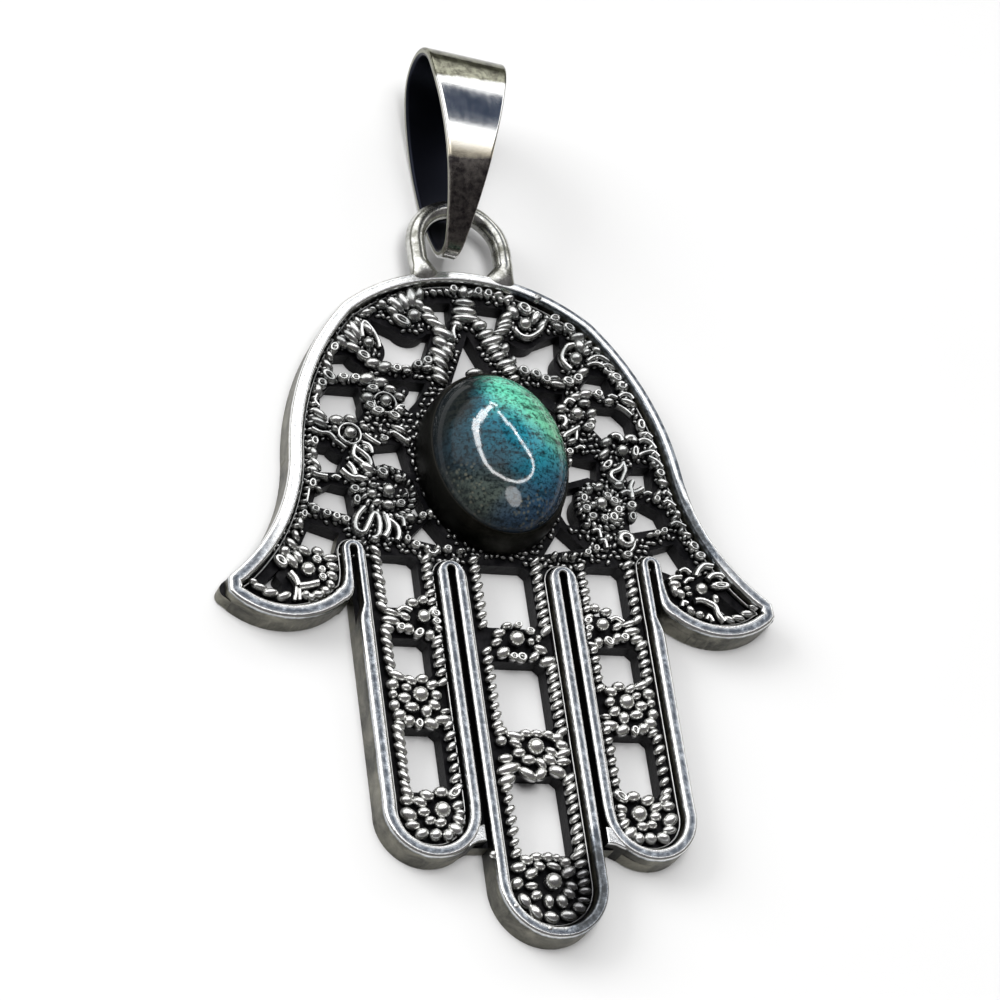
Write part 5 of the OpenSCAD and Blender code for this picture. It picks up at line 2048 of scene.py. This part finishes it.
    def rosette_rings(self, silver: bpy.types.Material) -> None:
        """Lay a fine twisted ring round each of the two large rosettes.

        Args:
            silver: Material of the ornament.
        """
        rings = [arc(x, y, r, 0, 358, 0.1) for x, y, r in TWISTED_RINGS]
        self.ornament(BeadRow().lay(lines_object("rosette_rings", rings, self.bead_z - 0.04),
                                    self.rosette_twist, silver))

    def channel(self, silver: bpy.types.Material) -> None:
        """Lay the hair-thin ridge in the groove between the rim and the borders.

        Args:
            silver: Material of the ridge.
        """
        inside, radius, tall, middle = self.ridge
        run = self.inside_rim(inside)
        obj = lines_object("channel_ridge", [run + run[:1]], 0.0, [radius])
        self.cast(BentWire().lay(obj, tall, middle, self.ridge_step, silver))

    def border(self, silver: bpy.types.Material) -> None:
        """Lay the fine twisted border inside the rim of the palm.

        Args:
            silver: Material of the ornament.
        """
        runs: list[list[Point]] = [[]]
        for x, y in self.inside_rim(self.border_in):
            if self.palm_share(x, y) >= 0.9 and y >= self.border_low:
                runs[-1].append((x, y))
            elif runs[-1]:
                runs.append([])
        obj = lines_object("palm_border", [run for run in runs if len(run) > 2], self.bead_z - 0.05)
        self.ornament(BeadRow().lay(obj, self.fine_twist, silver))

    def low_relief(self, silver: bpy.types.Material) -> None:
        """Crowd low beads over the palm's ground, clear of the openings' edges.

        Args:
            silver: Material of the low beads.
        """
        ground = bpy.data.objects["ground"].data
        tree = BVHTree.FromPolygons([v.co / MM for v in ground.vertices],
                                    [tuple(f.vertices) for f in ground.polygons if f.normal.z > 0.5])
        ways = [math.tau * k / 8 for k in range(8)]
        ring = [(self.low_clear * math.cos(a), self.low_clear * math.sin(a)) for a in ways]
        long, wide, high = self.low_half
        chance = random.Random(4)
        spots, sizes = [], []
        for row in range(int((self.low_top - self.low_from) / self.low_apart)):
            for column in range(-50, 51):
                x = self.low_apart * (column + 0.5 * (row % 2) + chance.uniform(-0.25, 0.25))
                y = self.low_from + self.low_apart * (row + chance.uniform(-0.25, 0.25))
                turn, grow = chance.uniform(0, 360), chance.uniform(0.85, 1.2)
                if all(tree.ray_cast(Vector((x + dx, y + dy, 3)), Vector((0, 0, -1)))[0] for dx, dy in ring):
                    spots.append((x, y, turn))
                    sizes.append((long * grow, wide * grow, high))
        obj = points_object("low_relief", spots, self.plan.ground_h + 0.02, sizes)
        self.ornament(Granules().beads(obj, 2, silver))

    def balls(self, silver: bpy.types.Material) -> None:
        """Set a ball in the middle of each rosette."""
        spots, sizes = [(x, y, 0) for x, y, _ in BALLS], [(r, r, r) for _, _, r in BALLS]
        self.ornament(Granules().beads(points_object("balls", spots, self.ball_z, sizes), 4, silver))

    def feet(self) -> None:
        """Fill the square feet of the outer fingers."""
        parts = []
        for sign in (1, -1):
            plan = [(sign * x, y) for x, y in FOOT]
            mx, my = sum(x for x, _ in plan) / len(plan), sum(y for _, y in plan) / len(plan)
            verts = [(lerp(mx, x, k), lerp(my, y, k), z) for k, z in self.foot_rings for x, y in plan]
            parts.append(mesh_object("foot", verts, rod_faces(len(self.foot_rings), len(plan))))
            tidy_mesh(parts[-1], smooth=False)
        feet = joined("feet", parts)
        store(feet, "polish", [0.8 if v.co.z > 0.0015 else 0.0 for v in feet.data.vertices])
        feet.data.materials.append(RimSilver("foot_silver").build())
        self.cast(feet)

    def grains(self) -> None:
        """Set the stray grains on the rim."""
        sizes = [(r, r, 0.9 * r) for _, _, r in GRAINS]
        obj = points_object("rim_grains", [(x, y, 0) for x, y, _ in GRAINS], self.grain_z, sizes)
        self.cast(Granules().beads(obj, 3, OxidisedSilver("grain_silver", 1.2, 1.5).build()))

    def bezel(self) -> None:
        """Stand the bezel round the stone and lay its lip over the edge."""
        n, (half_x, half_y) = 160, self.seat
        verts = []
        for a in (math.tau * i / n for i in range(n)):
            out = Vector((math.cos(a) / half_x, math.sin(a) / half_y)).normalized()
            verts += [(half_x * math.cos(a) + out.x * s, half_y * math.sin(a) + out.y * s, z)
                      for s, z in self.bezel_profile]
        obj = mesh_object("bezel", verts, grid_faces(n, len(self.bezel_profile), True))
        store(obj, "polish", [0.0] * len(verts))
        tidy_mesh(obj)
        obj.data.materials.append(RimSilver("bezel_silver", 4.0, 0.12).build())
        self.cast(obj)

    @staticmethod
    def spread(y: float) -> float:
        """Return how far a foot of the loop is spread at a place, nothing above 12.7 mm."""
        return max(0.0, (12.7 - y) / 0.9)

    def loop(self) -> None:
        """Bend the loop's wire and spread its feet over the rim."""
        top, low = self.loop_y
        leg = [(self.loop_r - 0.30 * self.spread(y), y) for y in (low + 0.15 * k for k in range(16))]
        path = mirrored(leg) + arc(0, top, self.loop_r, 180, 0, 0.14) + leg[::-1]
        verts, sides = [], 20
        for i, (x, y) in enumerate(path):
            t = heading(path[max(0, i - 1)], path[min(len(path) - 1, i + 1)])
            spread = self.spread(y)
            wide = self.loop_wire[0] + 0.40 * min(1.0, spread) ** 1.5
            tall, middle = self.loop_wire[1] - 0.03 * spread, self.loop_z - 0.15 * spread**2
            for a in (math.tau * k / sides for k in range(sides)):
                s = wide * math.cos(a)
                verts.append((x - t.y * s, y + t.x * s, middle + tall * math.sin(a)))
        obj = mesh_object("loop", verts, rod_faces(len(path), sides))
        tidy_mesh(obj)
        obj.data.materials.append(WornSilver().build())
        self.cast(obj)

    def build(self) -> list[Piece]:
        """Make every piece of the hand.

        Returns:
            The ornament.
        """
        silver = OxidisedSilver("relief_silver", 1.16, 1.36).build()
        self.ground()
        self.rim()
        self.feet()
        self.grains()
        self.ropes(silver)
        self.leaves(silver)
        self.rings(silver)
        self.wires(silver)
        self.balls(OxidisedSilver("ball_silver", 1.1, 1.35).build())
        self.channel(OxidisedSilver("ridge_silver", 1.05, 1.35).build())
        self.border(silver)
        self.rosette_rings(silver)
        low, high = self.plan.ground_h + 0.06, self.plan.ground_h + 0.20
        self.low_relief(OxidisedSilver("low_silver", low, high, 0.06, (0.50, 0.50, 0.49)).build())
        self.bezel()
        self.loop()
        return self.relief


# -------------------------------------------------------------- the stone


@dataclass
class Cabochon:
    """The oval cabochon, a low smooth dome on a plain edge.

    Attributes:
        half: Half its width and length in mm.
        base: Height of its underside in mm.
        dome: Height of the dome over it in mm.
        fullness: How full the dome is; 2 is an ellipsoid.
        node: The solid that it stands for.
    """

    half: tuple = (4.0, 5.0)
    base: float = 1.45
    dome: float = 3.6
    fullness: float = 2.7
    node: str = "cabochon"

    def build(self) -> Piece:
        """Make the stone.

        Returns:
            The stone.
        """
        n, rows = 96, 40
        verts = [(0.0, 0.0, self.base + self.dome)]
        for j in range(1, rows + 1):
            a = math.pi / 2 * j / rows
            rise = self.base + self.dome * max(0.0, math.cos(a)) ** (2 / self.fullness)
            verts += [(self.half[0] * math.sin(a) * math.cos(math.tau * i / n),
                       self.half[1] * math.sin(a) * math.sin(math.tau * i / n), rise) for i in range(n)]
        faces = [(0, 1 + i, 1 + (i + 1) % n) for i in range(n)]
        faces += [tuple(1 + v for v in f) for f in grid_faces(rows, n, False)]
        faces.append(tuple(range(1 + (rows - 1) * n, 1 + rows * n)))
        obj = mesh_object("stone", verts, faces)
        tidy_mesh(obj)
        obj.data.materials.append(FlashStone().build())
        hand_over(obj, Body.HAND, Finish.STONE, self.node)
        return obj


# --------------------------------------------------------------- the bail


@dataclass
class Bail:
    """The folded bail: a tapered strip bent round into a long drop.

    Its side is measured by u, from the lower end to the top, and w, from back
    to front.

    Attributes:
        length: Length in mm.
        depth: Depth in mm.
        low_r: Radius of the lower end in mm.
        top_r: Radius of the top in mm.
        strip: Thickness of the strip in mm.
        top_w: Width at the top in mm.
        low_w: Width at the lower end in mm.
        yaw: Turn to the side in degrees.
        pitch: Lift of the top in degrees.
        off: Distance to the left of the middle in mm.
        foot_y: Place of the lower end in mm.
        edge: Radius of the strip's edges in mm.
        soft: Length of the flat beside an edge in mm.
        top_flare: How much the open side flares at the top, in mm.
        flare_from: Place along the bail where the flare starts, in mm.
        crown_from: Place along the bail where the top starts to narrow, in mm.
        node: The solid that it stands for.
    """

    length: float = 12.5
    depth: float = 6.1
    low_r: float = 1.4
    top_r: float = 2.45
    strip: float = 0.48
    top_w: float = 5.0
    low_w: float = 0.9
    yaw: float = -7.0
    pitch: float = 7.5
    off: float = -0.95
    foot_y: float = 12.67
    edge: float = 0.14
    soft: float = 0.03
    top_flare: float = 0.08
    flare_from: float = 5.0
    crown_from: float = 9.5
    node: str = "bail"

    def __post_init__(self) -> None:
        """Work out the belly arcs and the height as the part's source does."""
        h = self.depth / 2
        self.low_u, self.top_u = self.low_r, self.length - self.top_r
        low_k, top_k = 1 / (2 * (h - self.low_r)), 1 / (2 * (h - self.top_r))
        a, b = low_k - top_k, 2 * (top_k * self.top_u - low_k * self.low_u)
        c = low_k * self.low_u**2 - top_k * self.top_u**2 + (self.low_r - self.top_r) / 2
        self.belly_u = (math.sqrt(b * b - 4 * a * c) - b) / (2 * a)
        self.belly_w = low_k * (self.belly_u - self.low_u) ** 2 - (h - self.low_r) / 2
        self.belly_r = h + self.belly_w
        p = math.radians(self.pitch)
        self.z = self.belly_r - self.belly_w * math.cos(p) - self.belly_u * math.sin(p)

    def course(self) -> list[tuple[float, float, float]]:
        """Return the bail's side as a run of points.

        Returns:
            u, w and the outward direction once round.
        """
        low = math.atan2(self.belly_w, self.low_u - self.belly_u)
        top = math.atan2(self.belly_w, self.top_u - self.belly_u)
        arcs = [(self.top_u, 0.0, self.top_r, -top, top, 34),
                (self.belly_u, -self.belly_w, self.belly_r, top, low, 40),
                (self.low_u, 0.0, self.low_r, low, math.tau - low, 26),
                (self.belly_u, self.belly_w, self.belly_r, math.tau - low, math.tau - top, 40)]
        turns = [(u, w, r, lerp(a0, a1, i / n)) for u, w, r, a0, a1, n in arcs for i in range(n)]
        return [(u + r * math.cos(a), w + r * math.sin(a), a) for u, w, r, a in turns]

    def section(self) -> list[tuple[int, float, float]]:
        """Return the strip's section.

        Returns:
            Side, distance from that side and depth below the outer face, once round.
        """
        e, flat = self.edge, self.edge + self.soft
        quarter = [(0.0, flat), (0.0, e), (0.1 * e, 0.6 * e), (0.3 * e, 0.3 * e), (0.6 * e, 0.1 * e),
                   (e, 0.0), (flat, 0.0)]
        top = [(-1, *place) for place in quarter] + [(1, *place) for place in reversed(quarter)]
        return top + [(side, back, self.strip - depth) for side, back, depth in reversed(top)]

    def build(self) -> None:
        """Make the bail."""
        section = self.section()
        yaw, pitch = math.radians(self.yaw), math.radians(self.pitch)
        turn = Matrix.Rotation(yaw, 3, "Z") @ Matrix.Rotation(pitch, 3, "X")
        place = Vector((self.off, self.foot_y, self.z))
        verts, inner, front, wall = [], [], [], []
        for u, w, a in self.course():
            for side, back, depth in section:
                pu, pw = u - depth * math.cos(a), w - depth * math.sin(a)
                wide = lerp(self.low_w, self.top_w, max(0.0, pu) / self.length) / 2
                wide -= 0.16 * max(0.0, (pu - self.crown_from) / 3.0) ** 2
                flare = self.top_flare * max(0.0, (pu - self.flare_from) / 7.5)
                verts.append(tuple(turn @ Vector((side * (wide + flare - back) - flare, pu, pw)) + place))
                inner.append(1.0 if depth > 0.7 * self.strip else 0.0)
                wall.append(1.0 if self.edge < depth < self.strip - self.edge else 0.0)
                front.append(pu / self.length if pw > 0 else 0.0)
        columns = len(section)
        obj = mesh_object("bail_strip", verts, grid_faces(len(verts) // columns, columns, True))
        for name, values in (("inner", inner), ("front", front), ("wall", wall)):
            store(obj, name, values)
        tidy_mesh(obj)
        obj.data.materials.append(PolishedSilver().build())
        hand_over(obj, Body.BAIL, Finish.POLISHED, self.node)


def main() -> None:
    """Build the scene and report each piece."""
    logging.basicConfig(level=logging.INFO, format="%(message)s")
    studio = Studio()
    studio.build()
    studio.relief_lamp(CastHand().build())
    studio.ring_lamp(Cabochon().build())
    Bail().build()


if __name__ == "__main__":
    main()
